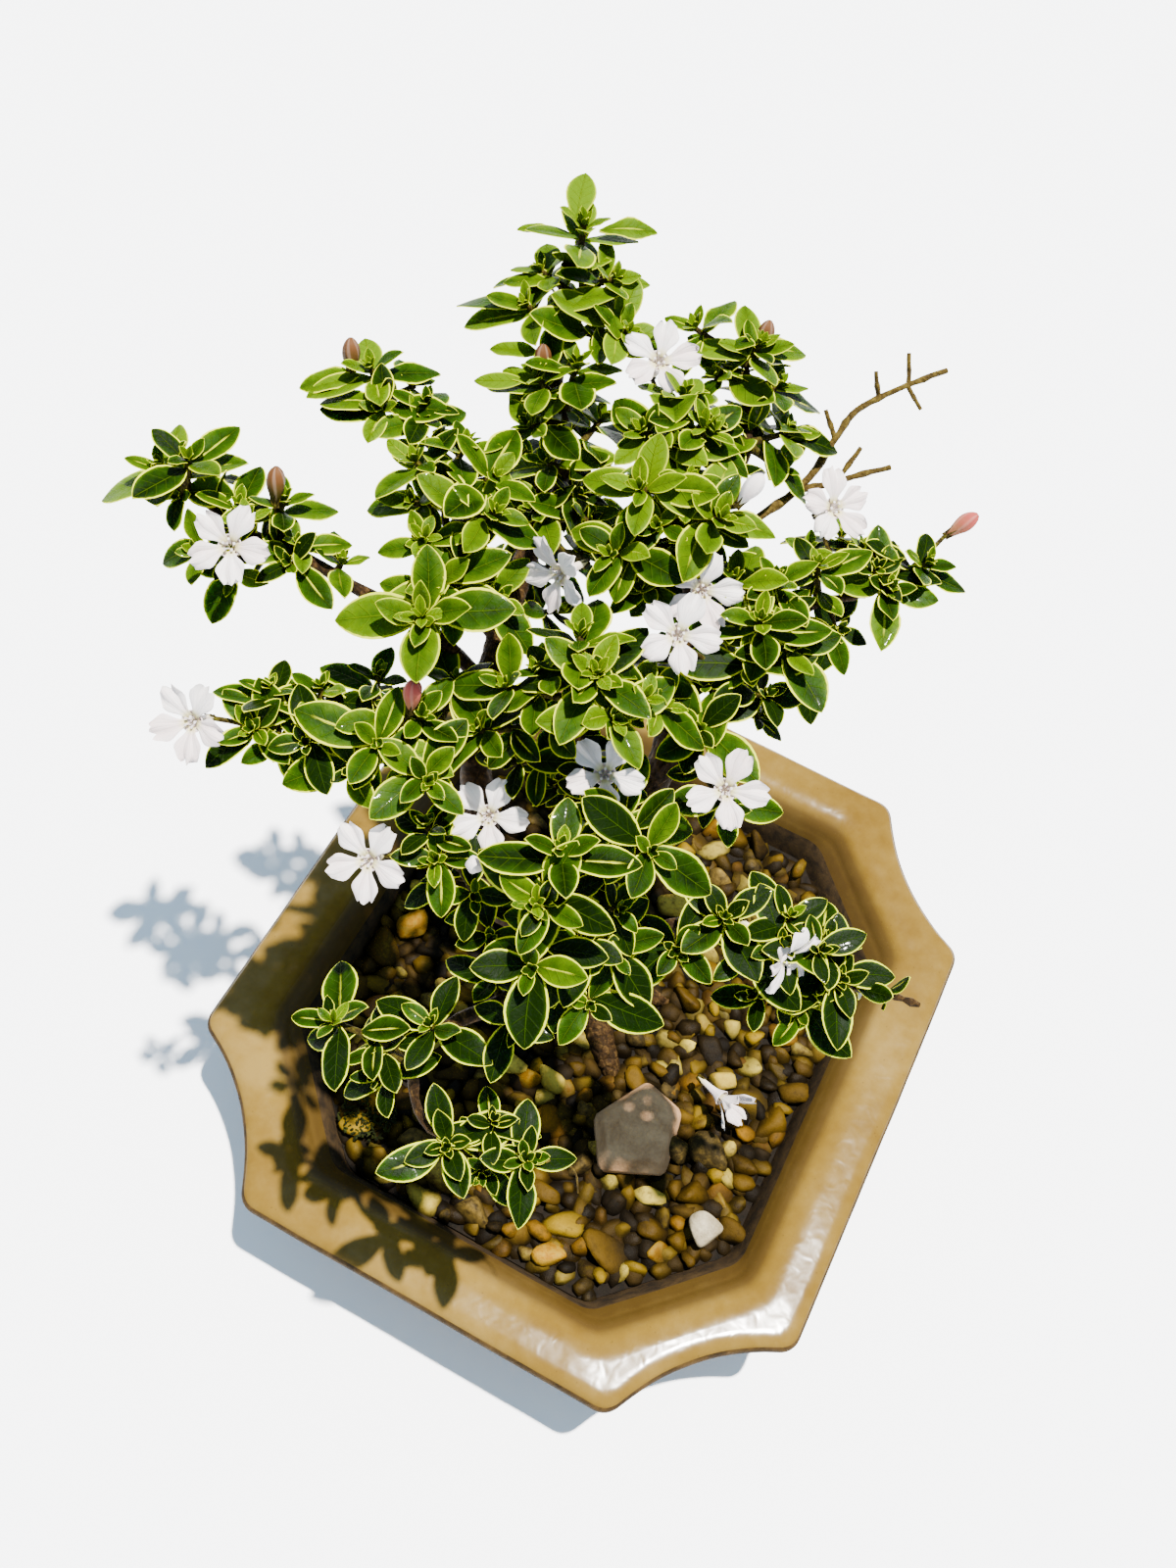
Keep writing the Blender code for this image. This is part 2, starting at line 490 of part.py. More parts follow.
def build_gravel(shop, clearance, rng):
    """A bed of grit with its larger stones standing out, fitted to the pot's inner wall."""
    bm = bmesh.new()
    loft(bm, [cavity_ring(SOIL_TOP + 0.3, 0.3), cavity_ring(GRAVEL_TOP - GRAVEL_HOLLOW, 0.3)])
    gravel = shop.add("gravel", mesh_from(bm, "gravel"), "gravel")
    stones = bmesh.new()
    places = stone_places(rng)
    for index, place in enumerate(places):
        room = min(math.dist(place, other) for other in places if other != place) / 2 - 0.1
        bedded_stone(stones, place, room, rng, index <= len(LOOSE_PLACES))
    heap = shop.add_cutter("bedded_stones", mesh_from(stones, "bedded_stones"))
    boolean(gravel, heap, "UNION")
    rings = bmesh.new()
    loft(rings, [cavity_ring(SOIL_TOP - 1, 0.3), cavity_ring(GRAVEL_TOP + 2, 0.3)])
    boolean(gravel, shop.add_cutter("gravel_bed", mesh_from(rings, "gravel_bed")), "INTERSECT")
    boolean(gravel, clearance, "DIFFERENCE")


def stone_mesh(name, size, roughness, rng):
    """A worn stone: a ball pushed about, pressed flat underneath."""
    bm = bmesh.new()
    bmesh.ops.create_icosphere(bm, subdivisions=2, radius=1.0)
    for vert in bm.verts:
        vert.co *= 1.0 + rng.uniform(-roughness, roughness)
        vert.co.z = max(vert.co.z, -0.55)
        vert.co = Vector([c * s / 2 * MM for c, s in zip(vert.co, size)])
    low = min(v.co.z for v in bm.verts)
    bmesh.ops.translate(bm, verts=bm.verts, vec=(0, 0, -low))
    return mesh_from(bm, name)


def build_loose_stones(shop, rng):
    rest = GRAVEL_TOP + 0.3
    stones = {
        "flat_stone": ((16, 20, 5.5), 20, "stone", 0.10),
        "white_pebble": ((7, 8, 5.0), 60, "pebble", 0.06),
        "amber_pebble": ((8, 6, 4.5), 30, "gravel", 0.08),
        "moss_tuft": ((13, 9, 3.4), 40, "moss", 0.12),
    }
    for name, (size, turn, finish, roughness) in stones.items():
        stone = shop.add(name, stone_mesh(name, size, roughness, rng), finish)
        stone.location = Vector((*LOOSE_PLACES[name], rest)) * MM
        stone.rotation_euler.z = math.radians(turn)


# ---------------------------------------------------------------- the plant


def tubes_mesh(name, routes, grow=0.0, sides=2, lengthen=0.0):
    """Round wood along each route of (x, y, z, radius), as closed tubes in one mesh."""
    curve = bpy.data.curves.new(name, "CURVE")
    curve.dimensions = "3D"
    curve.bevel_depth = MM
    curve.bevel_resolution = sides
    curve.use_fill_caps = True
    for route in routes:
        points = [Vector(p[:3]) for p in route]
        points[0] = points[0] + (points[0] - points[1]).normalized() * lengthen
        points[-1] = points[-1] + (points[-1] - points[-2]).normalized() * lengthen
        spline = curve.splines.new("POLY")
        spline.points.add(len(points) - 1)
        for target, point, step in zip(spline.points, points, route):
            target.co = (*(point * MM), 1.0)
            target.radius = step[3] + grow
    holder = bpy.data.objects.new(name, curve)
    bpy.context.scene.collection.objects.link(holder)
    bpy.context.view_layer.update()
    graph = bpy.context.evaluated_depsgraph_get()
    mesh = bpy.data.meshes.new_from_object(holder.evaluated_get(graph))
    bpy.data.objects.remove(holder)
    bm = bmesh.new()
    bm.from_mesh(mesh)
    bpy.data.meshes.remove(mesh)
    bmesh.ops.remove_doubles(bm, verts=bm.verts, dist=0.00001)
    return mesh_from(bm, name)


def smooth_route(route, steps=3):
    """A curve through the route's points, as more points of the same kind."""
    points = [Vector(p) for p in route]
    ends = [2 * points[0] - points[1]] + points + [2 * points[-1] - points[-2]]
    made = [points[0]]
    for a, b, c, d in zip(ends, ends[1:], ends[2:], ends[3:]):
        for i in range(1, steps + 1):
            t = i / steps
            made.append(0.5 * ((2 * b) + (c - a) * t + (2 * a - 5 * b + 4 * c - d) * t ** 2
                               + (3 * b - 3 * c + d - a) * t ** 3))
    return made


def union_of_tubes(shop, name, routes, finish, grow=0.0, lengthen=0.0, sides=2):
    """The first route's tube with every other one joined to it."""
    first = tubes_mesh(name, routes[:1], grow, sides, lengthen)
    cutter_name = f"{name}_limbs"
    rest = tubes_mesh(cutter_name, routes[1:], grow, sides, lengthen)
    limbs = shop.add_cutter(cutter_name, rest)
    wood = shop.add(name, first, finish) if finish else shop.add_cutter(name, first)
    boolean(wood, limbs, "UNION", use_self=True)
    return wood


def leaf_verts(bm, base, along, up, length):
    """A pointed blade from a six-sided double pyramid, keeled and bent down at its tip."""
    made = bmesh.ops.create_uvsphere(bm, u_segments=6, v_segments=2, radius=1.0)["verts"]
    side = along.cross(up).normalized()
    over = side.cross(along).normalized()
    width = length * LEAF_WIDTH_RATIO
    for vert in made:
        across, forward, height = vert.co
        share = (forward + 1) / 2
        keel = height * LEAF_THICK * MM / 2 - (LEAF_KEEL * width if abs(height) > 0.5 else 0.0)
        rise = keel - LEAF_DROOP * length * share ** 2
        spread = across / 0.866 * width / 2
        vert.co = base + along * (length * share) + side * spread + over * rise
    return made


class Neighbours:
    """What is already in place, so that a new leaf can be kept clear of it."""

    def __init__(self):
        self.solids = []

    @staticmethod
    def reading(verts):
        faces = {face for vert in verts for face in vert.link_faces}
        index = {vert: i for i, vert in enumerate(verts)}
        points = [vert.co.copy() for vert in verts]
        polygons = [[index[v] for v in face.verts] for face in faces]
        centre = sum(points, Vector()) / len(points)
        reach = max((p - centre).length for p in points)
        return centre, reach, BVHTree.FromPolygons(points, polygons, epsilon=0.00012)

    def add(self, reading, owner):
        self.solids.append((*reading, owner))

    def add_mesh(self, mesh, owner):
        bm = bmesh.new()
        bm.from_mesh(mesh)
        self.add(self.reading(list(bm.verts)), owner)
        bm.free()

    def clear(self, reading, owner):
        centre, reach, tree = reading
        for other_centre, other_reach, other_tree, other_owner in self.solids:
            if other_owner == owner:
                continue
            if (centre - other_centre).length > reach + other_reach + GAP:
                continue
            if tree.overlap(other_tree):
                return False
        return True


def nearest_on(stem, point):
    """The place along a stem that a side shoot to this point springs from."""
    best = None
    for a, b in zip(stem, stem[1:]):
        start, step = Vector(a[:3]), Vector(b[:3]) - Vector(a[:3])
        t = max(0.0, min(1.0, (point - start).dot(step) / step.length_squared))
        place = start + step * t
        distance = (point - place).length + 2.0 * max(0.0, place.z - point.z)
        if best is None or distance < best[0]:
            best = (distance, place)
    return best[1]


def shoot_route(stem, tip):
    """A side shoot from the nearest place on the stem to its tip."""
    base, end = SHOOT_RADIUS
    return [(*nearest_on(stem, tip), base), (*tip, end)]


def rosette_leaves(rosette, start):
    """Crossed pairs of leaves at a shoot's tip: (base, along, up, length) for each, in metres."""
    x, y, z, length, pairs, turn = rosette
    tip = Vector((x, y, z))
    shoot = (tip - start).normalized()
    axis = (shoot * 0.45 + UP * 0.8).normalized()
    across = axis.cross(compass(turn, 0)).normalized()
    first = across.cross(axis).normalized()
    for pair in range(2 if pairs > 3 else 1):
        rise = math.radians(18 + 20 * pair)
        spread = first if pair == 0 else across
        base = (tip - shoot * (1.0 - 0.7 * pair)) * MM
        for way in (1, -1):
            along = spread * way * math.cos(rise) + axis * math.sin(rise)
            up = axis * math.cos(rise) - spread * way * math.sin(rise)
            yield base + spread * way * 0.06 * MM, along, up, length * MM * (1.0 - 0.18 * pair)


def add_leaf(bm, leaf, neighbours, owner):
    """Adds one leaf, turned a little if it would touch a neighbour, or left out if it still would."""
    base, along, up, length = leaf
    for swing in (0, 14, -14, 28, -28):
        turned = Matrix.Rotation(math.radians(swing), 3, up) @ along
        verts = leaf_verts(bm, base, turned, up, length)
        reading = neighbours.reading(verts)
        if neighbours.clear(reading, owner):
            neighbours.add(reading, owner)
            return
        bmesh.ops.delete(bm, geom=verts, context="VERTS")


def flower_solid(bm, face, axis):
    """Five spread petals on a narrow tube, lofted from the tube's foot round to the throat."""
    around = [(72 * petal + turn, reach)
              for petal in range(5) for turn, reach in ((-PETAL_TURN, 1.0), (PETAL_TURN, 1.0), (36, 0.0))]
    shape = placed(Vector(face) * MM, axis)
    rings = []
    for radius, notch_radius, height, lift in (
            (0.6, 0.6, -FLOWER_TUBE, 0.0), (1.2, 1.2, -1.1, 0.0),
            (PETAL_LENGTH, PETAL_NOTCH, -0.3, PETAL_LIFT),
            (PETAL_LENGTH - 0.2, PETAL_NOTCH - 0.2, 0.3, PETAL_LIFT), (0.8, 0.8, 0.0, 0.0)):
        ring = []
        for turn, reach in around:
            far = notch_radius + (radius - notch_radius) * reach
            angle = math.radians(turn)
            point = Vector((far * math.cos(angle), far * math.sin(angle), height + lift * reach))
            ring.append(shape @ (point * MM))
        rings.append(ring)
    loft(bm, rings)
    return Vector(face) * MM - axis * FLOWER_TUBE * MM


def bud_solid(bm, middle, axis):
    """A closed bud, narrow at its foot and full towards its tip."""
    made = bmesh.ops.create_uvsphere(bm, u_segments=8, v_segments=6, radius=1.0)["verts"]
    shape = placed(Vector(middle) * MM, axis)
    for vert in made:
        x, y, z = vert.co
        radius = BUD_RADIUS * (0.72 + 0.28 * z)
        vert.co = shape @ (Vector((x * radius, y * radius, z * BUD_HALF_LENGTH)) * MM)
    return (Vector(middle) - axis * BUD_HALF_LENGTH) * MM


def bloom_finish(name):
    if name.startswith("flower") or name in ("bud_opening", "bud_pale"):
        return "petal"
    return "pink_bud" if "pink" in name else "brown_bud"


def build_blooms(shop, neighbours):
    """Every flower and bud, and where the stalk of each has to reach."""
    feet = {}
    for name, (kind, place, (turn, rise), _) in BLOOMS.items():
        axis = compass(turn, rise)
        bm = bmesh.new()
        foot = (flower_solid if kind == "open" else bud_solid)(bm, place, axis)
        feet[name] = foot / MM - axis * STALK_GAP
        mesh = mesh_from(bm, name)
        shop.add(name, mesh, bloom_finish(name))
        neighbours.add_mesh(mesh, name)
    return feet


def build_twigs(shop, neighbours, clearance, feet):
    """The leafy twigs: wood first for all of them, then leaves where there is room."""
    stalks = {name: [] for name in TWIGS}
    for bloom, foot in feet.items():
        stalks[BLOOMS[bloom][-1]].append(foot)
    wood = {}
    for name, (stem, rosettes) in TWIGS.items():
        shoots = [shoot_route(stem, Vector(r[:3])) for r in rosettes]
        shoots += [shoot_route(stem, foot) for foot in stalks[name]]
        stem_mesh = tubes_mesh(name, [stem], sides=1)
        shoot_mesh = tubes_mesh(f"{name}_shoots", shoots, sides=0)
        neighbours.add_mesh(stem_mesh, name)
        neighbours.add_mesh(shoot_mesh, name)
        wood[name] = (stem_mesh, shoot_mesh, shoots)
    for name, (stem, rosettes) in TWIGS.items():
        stem_mesh, shoot_mesh, shoots = wood[name]
        bm = bmesh.new()
        bm.from_mesh(shoot_mesh)
        for rosette, route in zip(rosettes, shoots):
            for leaf in rosette_leaves(rosette, Vector(route[0][:3])):
                add_leaf(bm, leaf, neighbours, name)
        growth = shop.add_cutter(f"{name}_growth", mesh_from(bm, f"{name}_growth"))
        twig = shop.add(f"leafy_twig_{name}", stem_mesh, "leaf")
        boolean(twig, growth, "UNION", use_self=True)
        boolean(twig, clearance, "DIFFERENCE")


def build_wood(shop, neighbours):
    """The trunk with its roots and leaders, the bare twigs, and the room kept round the trunk."""
    routes = [smooth_route(route, 2) if len(route) > 3 else route for route in TRUNK_ROUTES.values()]
    union_of_tubes(shop, "trunk", routes, "bark")
    clearance = union_of_tubes(shop, "trunk_room", routes, None, grow=0.3, lengthen=0.3)
    neighbours.add_mesh(tubes_mesh("trunk_reading", routes), "trunk")
    twigs = union_of_tubes(shop, "bare_twigs", BARE_TWIG_ROUTES, "dead_wood", sides=1)
    boolean(twigs, clearance, "DIFFERENCE")
    neighbours.add_mesh(tubes_mesh("bare_reading", BARE_TWIG_ROUTES), "bare_twigs")
    return clearance


def build_fallen_flower(shop):
    """A dropped flower lying on the grit."""
    bm = bmesh.new()
    flower_solid(bm, FALLEN_FLOWER, compass(200, 35))
    low = min(vert.co.z for vert in bm.verts)
    drop = (GRAVEL_TOP + 0.3) * MM - low
    bmesh.ops.translate(bm, verts=bm.verts, vec=(0.0, 0.0, drop))
    shop.add("fallen_flower", mesh_from(bm, "fallen_flower"), "petal")


def centre_on_floor(shop):
    """Moves the stand so that the whole plant's floor area is centred on the origin."""
    bpy.context.view_layer.update()
    graph = bpy.context.evaluated_depsgraph_get()
    corners = []
    for obj in shop.parts.objects:
        if obj.type == "MESH":
            seen = obj.evaluated_get(graph)
            corners += [seen.matrix_world @ v.co for v in seen.data.vertices]
    for axis in (0, 1):
        values = [c[axis] for c in corners]
        middle = (min(values) + max(values)) / 2
        shop.stand.location[axis] = -round(middle / MM, 1) * MM


def main():
    clear_scene()
    rng = random.Random(SEED)
    shop = Workshop()
    neighbours = Neighbours()
    build_pot(shop)
    build_screens(shop)
    clearance = build_wood(shop, neighbours)
    build_soil(shop, clearance)
    build_gravel(shop, clearance, rng)
    build_loose_stones(shop, rng)
    build_fallen_flower(shop)
    feet = build_blooms(shop, neighbours)
    build_twigs(shop, neighbours, clearance, feet)
    centre_on_floor(shop)


main()
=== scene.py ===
"""Serissa bonsai in a glazed tray pot: its fine shapes, finishes, light and camera.

Lengths in the classes are millimetres from the middle of the pot's base, with X
along the pot's short side, Y along its long side and Z up.
"""

import logging
import math
import random
import time
from dataclasses import dataclass, field
from enum import Enum
from typing import Callable, Iterable, Sequence

import bmesh
import bpy
from mathutils import Matrix, Quaternion, Vector, noise
from mathutils.bvhtree import BVHTree


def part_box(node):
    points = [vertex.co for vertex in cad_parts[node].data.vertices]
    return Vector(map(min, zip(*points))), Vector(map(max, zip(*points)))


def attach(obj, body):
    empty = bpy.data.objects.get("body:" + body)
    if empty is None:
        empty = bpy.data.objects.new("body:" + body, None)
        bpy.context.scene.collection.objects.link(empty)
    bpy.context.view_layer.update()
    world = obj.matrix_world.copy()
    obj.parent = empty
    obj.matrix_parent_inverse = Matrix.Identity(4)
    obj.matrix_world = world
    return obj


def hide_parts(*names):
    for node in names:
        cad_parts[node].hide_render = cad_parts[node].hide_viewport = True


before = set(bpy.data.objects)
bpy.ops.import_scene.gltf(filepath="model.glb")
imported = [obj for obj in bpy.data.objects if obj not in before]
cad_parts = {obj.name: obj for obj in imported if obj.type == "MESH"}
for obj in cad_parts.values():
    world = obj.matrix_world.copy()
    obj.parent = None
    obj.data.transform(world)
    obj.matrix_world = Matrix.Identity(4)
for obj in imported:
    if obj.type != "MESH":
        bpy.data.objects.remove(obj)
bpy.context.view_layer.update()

LOG = logging.getLogger("serissa")
MM = 0.001
SEED = 7
UP = Vector((0.0, 0.0, 1.0))
ROOT = "root"

Colour = tuple[float, float, float, float]
Point = tuple[float, float, float]
Step = tuple[float, float, float, float]
Pair = tuple[float, float]
EVEN: Pair = (0.5, 0.5)
FULL_TURN = 2.0 * math.pi
FIVEFOLD = 5


def pot_middle() -> Vector:
    """The middle of the pot's base, in metres."""
    low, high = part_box("pot")
    return Vector(((low.x + high.x) / 2, (low.y + high.y) / 2, low.z))


ORIGIN = pot_middle()


def metres(point: Vector) -> Vector:
    """A place in the frame, in metres, from millimetres off the middle of the pot."""
    return ORIGIN + Vector(point) * MM


def millimetres(point: Vector) -> Vector:
    """A place in millimetres off the middle of the pot, from metres in the frame."""
    return (point - ORIGIN) / MM


def room_of(node: str) -> tuple[Vector, Vector]:
    """The middle of a solid's box and half its size, in millimetres."""
    low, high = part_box(node)
    return millimetres((low + high) / 2), (high - low) / 2 / MM


def paint(red: int, green: int, blue: int) -> Colour:
    """A linear colour from its three display values of 0 to 255.

    Args:
        red: The red value.
        green: The green value.
        blue: The blue value.

    Returns:
        The linear colour with an alpha of 1.
    """

    def linear(value: int) -> float:
        """One value made linear."""
        share = value / 255
        return share / 12.92 if share <= 0.04045 else ((share + 0.055) / 1.055) ** 2.4

    return (linear(red), linear(green), linear(blue), 1.0)


# ------------------------------------------------------------------ shader maths


class Wire:
    """A socket whose arithmetic adds Math nodes."""

    def __init__(self, graph: "Graph", socket: bpy.types.NodeSocket) -> None:
        """Holds the socket and the graph that it belongs to."""
        self.graph = graph
        self.socket = socket

    def _math(self, operation: str, *values: "Wire | float") -> "Wire":
        """The output of a Math node on these values."""
        return self.graph.node("ShaderNodeMath", {"operation": operation}, dict(enumerate(values)))

    def __add__(self, other: "Wire | float") -> "Wire":
        """self + other."""
        return self._math("ADD", self, other)

    __radd__ = __add__

    def __sub__(self, other: "Wire | float") -> "Wire":
        """self - other."""
        return self._math("SUBTRACT", self, other)

    def __rsub__(self, other: float) -> "Wire":
        """other - self."""
        return self._math("SUBTRACT", other, self)

    def __mul__(self, other: "Wire | float") -> "Wire":
        """self * other."""
        return self._math("MULTIPLY", self, other)

    __rmul__ = __mul__

    def __pow__(self, other: float) -> "Wire":
        """self to the power of other."""
        return self._math("POWER", self, other)

    def __abs__(self) -> "Wire":
        """The size of self without its sign."""
        return self._math("ABSOLUTE", self)

    def sine(self) -> "Wire":
        """The sine of self in radians."""
        return self._math("SINE", self)

    def rises(self, start: float, end: float) -> "Wire":
        """A soft step from 0 at start to 1 at end."""
        settings = {"interpolation_type": "SMOOTHSTEP"}
        return self.graph.node("ShaderNodeMapRange", settings,
                               {"Value": self, "From Min": start, "From Max": end})

    def band(self, rise: Pair, fall: Pair) -> "Wire":
        """A soft band: 1 between the end of rise and the start of fall, 0 outside them."""
        return self.rises(*rise) * (1.0 - self.rises(*fall))


class Graph:
    """One material's nodes."""

    def __init__(self, name: str, **constants: object) -> None:
        """Makes the material.

        Args:
            name: The material's name.
            **constants: Values of the shader's own sockets, with _ for a space.
        """
        self.material = bpy.data.materials.new(name)
        self.material.use_nodes = True
        self.tree = self.material.node_tree
        self.shader = self.tree.nodes["Principled BSDF"]
        for key, value in constants.items():
            self.shader.inputs[key.replace("_", " ")].default_value = value

    def node(self, kind: str, settings: dict[str, object] | None = None,
             inputs: dict[str | int, object] | None = None, output: str | int = 0) -> Wire:
        """Adds a node.

        Args:
            kind: The node's type.
            settings: Its own settings, set first; "stops" fills a colour ramp.
            inputs: A value or a wire for each socket named.
            output: The output that is wanted.

        Returns:
            That output as a wire.
        """
        made = self.tree.nodes.new(kind)
        for key, value in (settings or {}).items():
            if key == "stops":
                self._fill_ramp(made.color_ramp, value)
            else:
                setattr(made, key, value)
        for key, value in (inputs or {}).items():
            if isinstance(value, Wire):
                self.tree.links.new(value.socket, made.inputs[key])
            else:
                made.inputs[key].default_value = value
        return Wire(self, made.outputs[output])

    @staticmethod
    def _fill_ramp(ramp: bpy.types.ColorRamp, stops: Sequence[tuple[float, Colour]]) -> None:
        """Puts these stops on a ramp in place of its own."""
        while len(ramp.elements) < len(stops):
            ramp.elements.new(0.5)
        for element, (place, colour) in zip(ramp.elements, stops):
            element.position = place
            element.color = colour

    def spot(self) -> Wire:
        """The surface point's own coordinates."""
        return self.node("ShaderNodeTexCoord", output="Object")

    def height(self) -> Wire:
        """The surface point's height in millimetres."""
        return self.parts(self.spot())[2] * (1.0 / MM)

    def map_parts(self, layer: str) -> tuple[Wire, Wire]:
        """The two numbers of a UV map at the surface point."""
        return self.parts(self.node("ShaderNodeUVMap", {"uv_map": layer}))[:2]

    def parts(self, vector: Wire) -> tuple[Wire, Wire, Wire]:
        """The three numbers of a vector."""
        split = self.node("ShaderNodeSeparateXYZ", inputs={0: vector}).socket.node
        return tuple(Wire(self, out) for out in split.outputs)

    def grain(self, per_mm: float, detail: float = 2.0, roughness: float = 0.5,
              at: Wire | None = None, distortion: float = 0.0) -> Wire:
        """Soft noise from 0 to 1.

        Args:
            per_mm: How many blotches to the millimetre.
            detail: How many finer layers it has.
            roughness: How strong those are.
            at: The coordinates, by default the object's own.
            distortion: How far the pattern is pulled about.

        Returns:
            The noise as a wire.
        """
        return self.node("ShaderNodeTexNoise", inputs={
            "Vector": at or self.spot(), "Scale": per_mm / MM, "Detail": detail,
            "Roughness": roughness, "Distortion": distortion})

    def cells(self, per_mm: float, feature: str = "F1", at: Wire | None = None) -> Wire:
        """The distance within a pattern of cells, per_mm of them to the millimetre."""
        return self.node("ShaderNodeTexVoronoi", {"feature": feature},
                         {"Vector": at or self.spot(), "Scale": per_mm / MM}, "Distance")

    def mix(self, share: Wire | float, first: Wire | Colour, second: Wire | Colour) -> Wire:
        """Two colours mixed, share being how much of the second."""
        return self.node("ShaderNodeMix", {"data_type": "RGBA"}, {0: share, 6: first, 7: second}, 2)

    def ramp(self, share: Wire, stops: Sequence[tuple[float, Colour]]) -> Wire:
        """A colour from a ramp of (place, colour) stops."""
        return self.node("ShaderNodeValToRGB", {"stops": stops}, {0: share})

    def stretched(self, scale: Point) -> Wire:
        """The object's coordinates, scaled along each axis."""
        return self.node("ShaderNodeVectorMath", {"operation": "MULTIPLY"}, {0: self.spot(), 1: scale})

    def feed(self, **values: Wire) -> None:
        """Links wires to the shader's sockets, named with _ for a space."""
        for key, value in values.items():
            self.tree.links.new(value.socket, self.shader.inputs[key.replace("_", " ")])

    def bump(self, height: Wire, depth_mm: float) -> None:
        """Feeds the shader's normal with a relief of this depth in millimetres."""
        made = self.node("ShaderNodeBump", inputs={"Strength": 1.0, "Distance": depth_mm * MM,
                                                   "Height": height})
        self.feed(Normal=made)


# ------------------------------------------------------------------ finishes


@dataclass(frozen=True)
class LeafFinish:
    """Variegated leaf: green blade, thin pale edge and veins, painted lighter where the leaf is in sun
    and darker where it is in shade; reads the maps blade and tone.
    """

    name: str = "variegated_leaf"
    # The blade in painted shade (deep), half light (green) and painted sunlight (sunlit); the veins and
    # the zone inside the margin have shaded and sunlit copies too
    deep: Colour = paint(7, 20, 0)
    green: Colour = paint(26, 49, 0)
    sunlit: Colour = paint(66, 89, 0)
    veins_shaded: Colour = paint(48, 72, 1)
    veins_sunlit: Colour = paint(90, 108, 1)
    inner_shaded: Colour = paint(38, 60, 1)
    inner_sunlit: Colour = paint(92, 110, 1)
    cream: Colour = paint(186, 190, 30)
    lime: Colour = paint(124, 138, 1)
    margin: Pair = (0.085, 0.130)
    inner: Pair = (0.12, 0.30)
    vein_count: float = 6.5
    vein_slant: float = 1.3
    relief_mm: float = 0.14

    def material(self) -> bpy.types.Material:
        """Builds the leaf's material."""
        g = Graph(self.name, Coat_Roughness=0.07, Specular_IOR_Level=0.02, Subsurface_Weight=0.06,
                  Subsurface_Scale=0.001, Subsurface_Radius=(0.6, 1.0, 0.1))
        across, along = g.map_parts("blade")
        # light is the leaf's painted light, from 0 in deep shade to 1 in sun
        light, chance = g.map_parts("tone")
        edge = abs(across * 2.0 - 1.0)
        wander = g.grain(0.8, 2.0) - 0.5
        swell = (along * (1.0 - along) * 4.0) ** 0.6
        inset = (1.0 - edge) * swell + wander * 0.06
        margin = 1.0 - inset.rises(*self.margin)
        mottle = g.grain(0.45, 3.0, 0.6)
        tone = light + (mottle - 0.5) * 0.7 + (edge - 0.55) * 0.34 + (chance - 0.5) * 0.4
        blade = g.ramp(tone, [(0.05, self.deep), (0.42, self.green), (0.95, self.sunlit)])
        rib = 1.0 - (edge * swell).rises(0.012, 0.050)
        slant = (along * self.vein_count - edge * self.vein_slant) * (2.0 * math.pi)
        veins = slant.sine().rises(0.86, 0.995) * (1.0 - edge.rises(0.55, 0.8))
        lines = (rib * 0.42 + veins * 0.14) * (1.0 - margin)
        blade = g.mix(lines, blade, g.mix(light, self.veins_shaded, self.veins_sunlit))
        streak = 1.0 - (edge + wander * 0.10).rises(0.035, 0.085)
        streak *= along.band((0.12, 0.24), (0.52, 0.72)) * chance.rises(0.78, 0.81)
        # Painted light: streaks and margins go from cream in shade to lime in sun
        blade = g.mix(streak * 0.9, blade, g.mix(light, self.cream, self.lime))
        inner = 1.0 - inset.rises(*self.inner)
        blade = g.mix(inner * 0.34, blade, g.mix(light, self.inner_shaded, self.inner_sunlit))
        pale = g.mix((light + (mottle - 0.5) * 0.6).rises(0.35, 1.15), self.cream, self.lime)
        fine = g.grain(3.0, 2.0, 0.6)
        g.feed(Base_Color=g.mix(margin, blade, pale),
               Roughness=0.30 + fine * 0.26 + margin * 0.12,
               Coat_Weight=(1.0 - margin) * 0.10 * fine.rises(0.48, 0.62))
        g.bump(fine * 0.4 + mottle * 0.5 - rib * 0.9 - veins * 0.5 + margin * 0.25, self.relief_mm)
        return g.material


@dataclass(frozen=True)
class PetalFinish:
    """White petal with a faint pink flush and long fine lines; reads the maps blade and tone."""

    name: str = "white_petal"
    white: Colour = paint(220, 212, 206)
    blush: Colour = paint(208, 188, 182)
    throat: Colour = paint(206, 196, 110)
    line: Colour = paint(214, 204, 210)
    line_turns: float = 44.0
    relief_mm: float = 0.07

    def material(self) -> bpy.types.Material:
        """Builds the petal's material."""
        g = Graph(self.name, Specular_IOR_Level=0.2, Subsurface_Weight=0.2, Subsurface_Scale=0.001,
                  Subsurface_Radius=(1.0, 1.0, 1.0))
        across, along = g.map_parts("blade")
        light, _ = g.map_parts("tone")
        mottle = g.grain(0.7, 3.0)
        lines = (across * self.line_turns + mottle * 3.0).sine().rises(0.3, 1.0)
        colour = g.mix((mottle * 0.7 + light * 0.5).rises(0.35, 1.0), self.white, self.blush)
        colour = g.mix(lines * 0.10, colour, self.line)
        colour = g.mix((1.0 - along.rises(0.02, 0.30)) * 0.7, colour, self.throat)
        g.feed(Base_Color=colour, Roughness=0.45 + mottle * 0.25)
        g.bump(lines * 0.5 + mottle * 0.6, self.relief_mm)
        return g.material


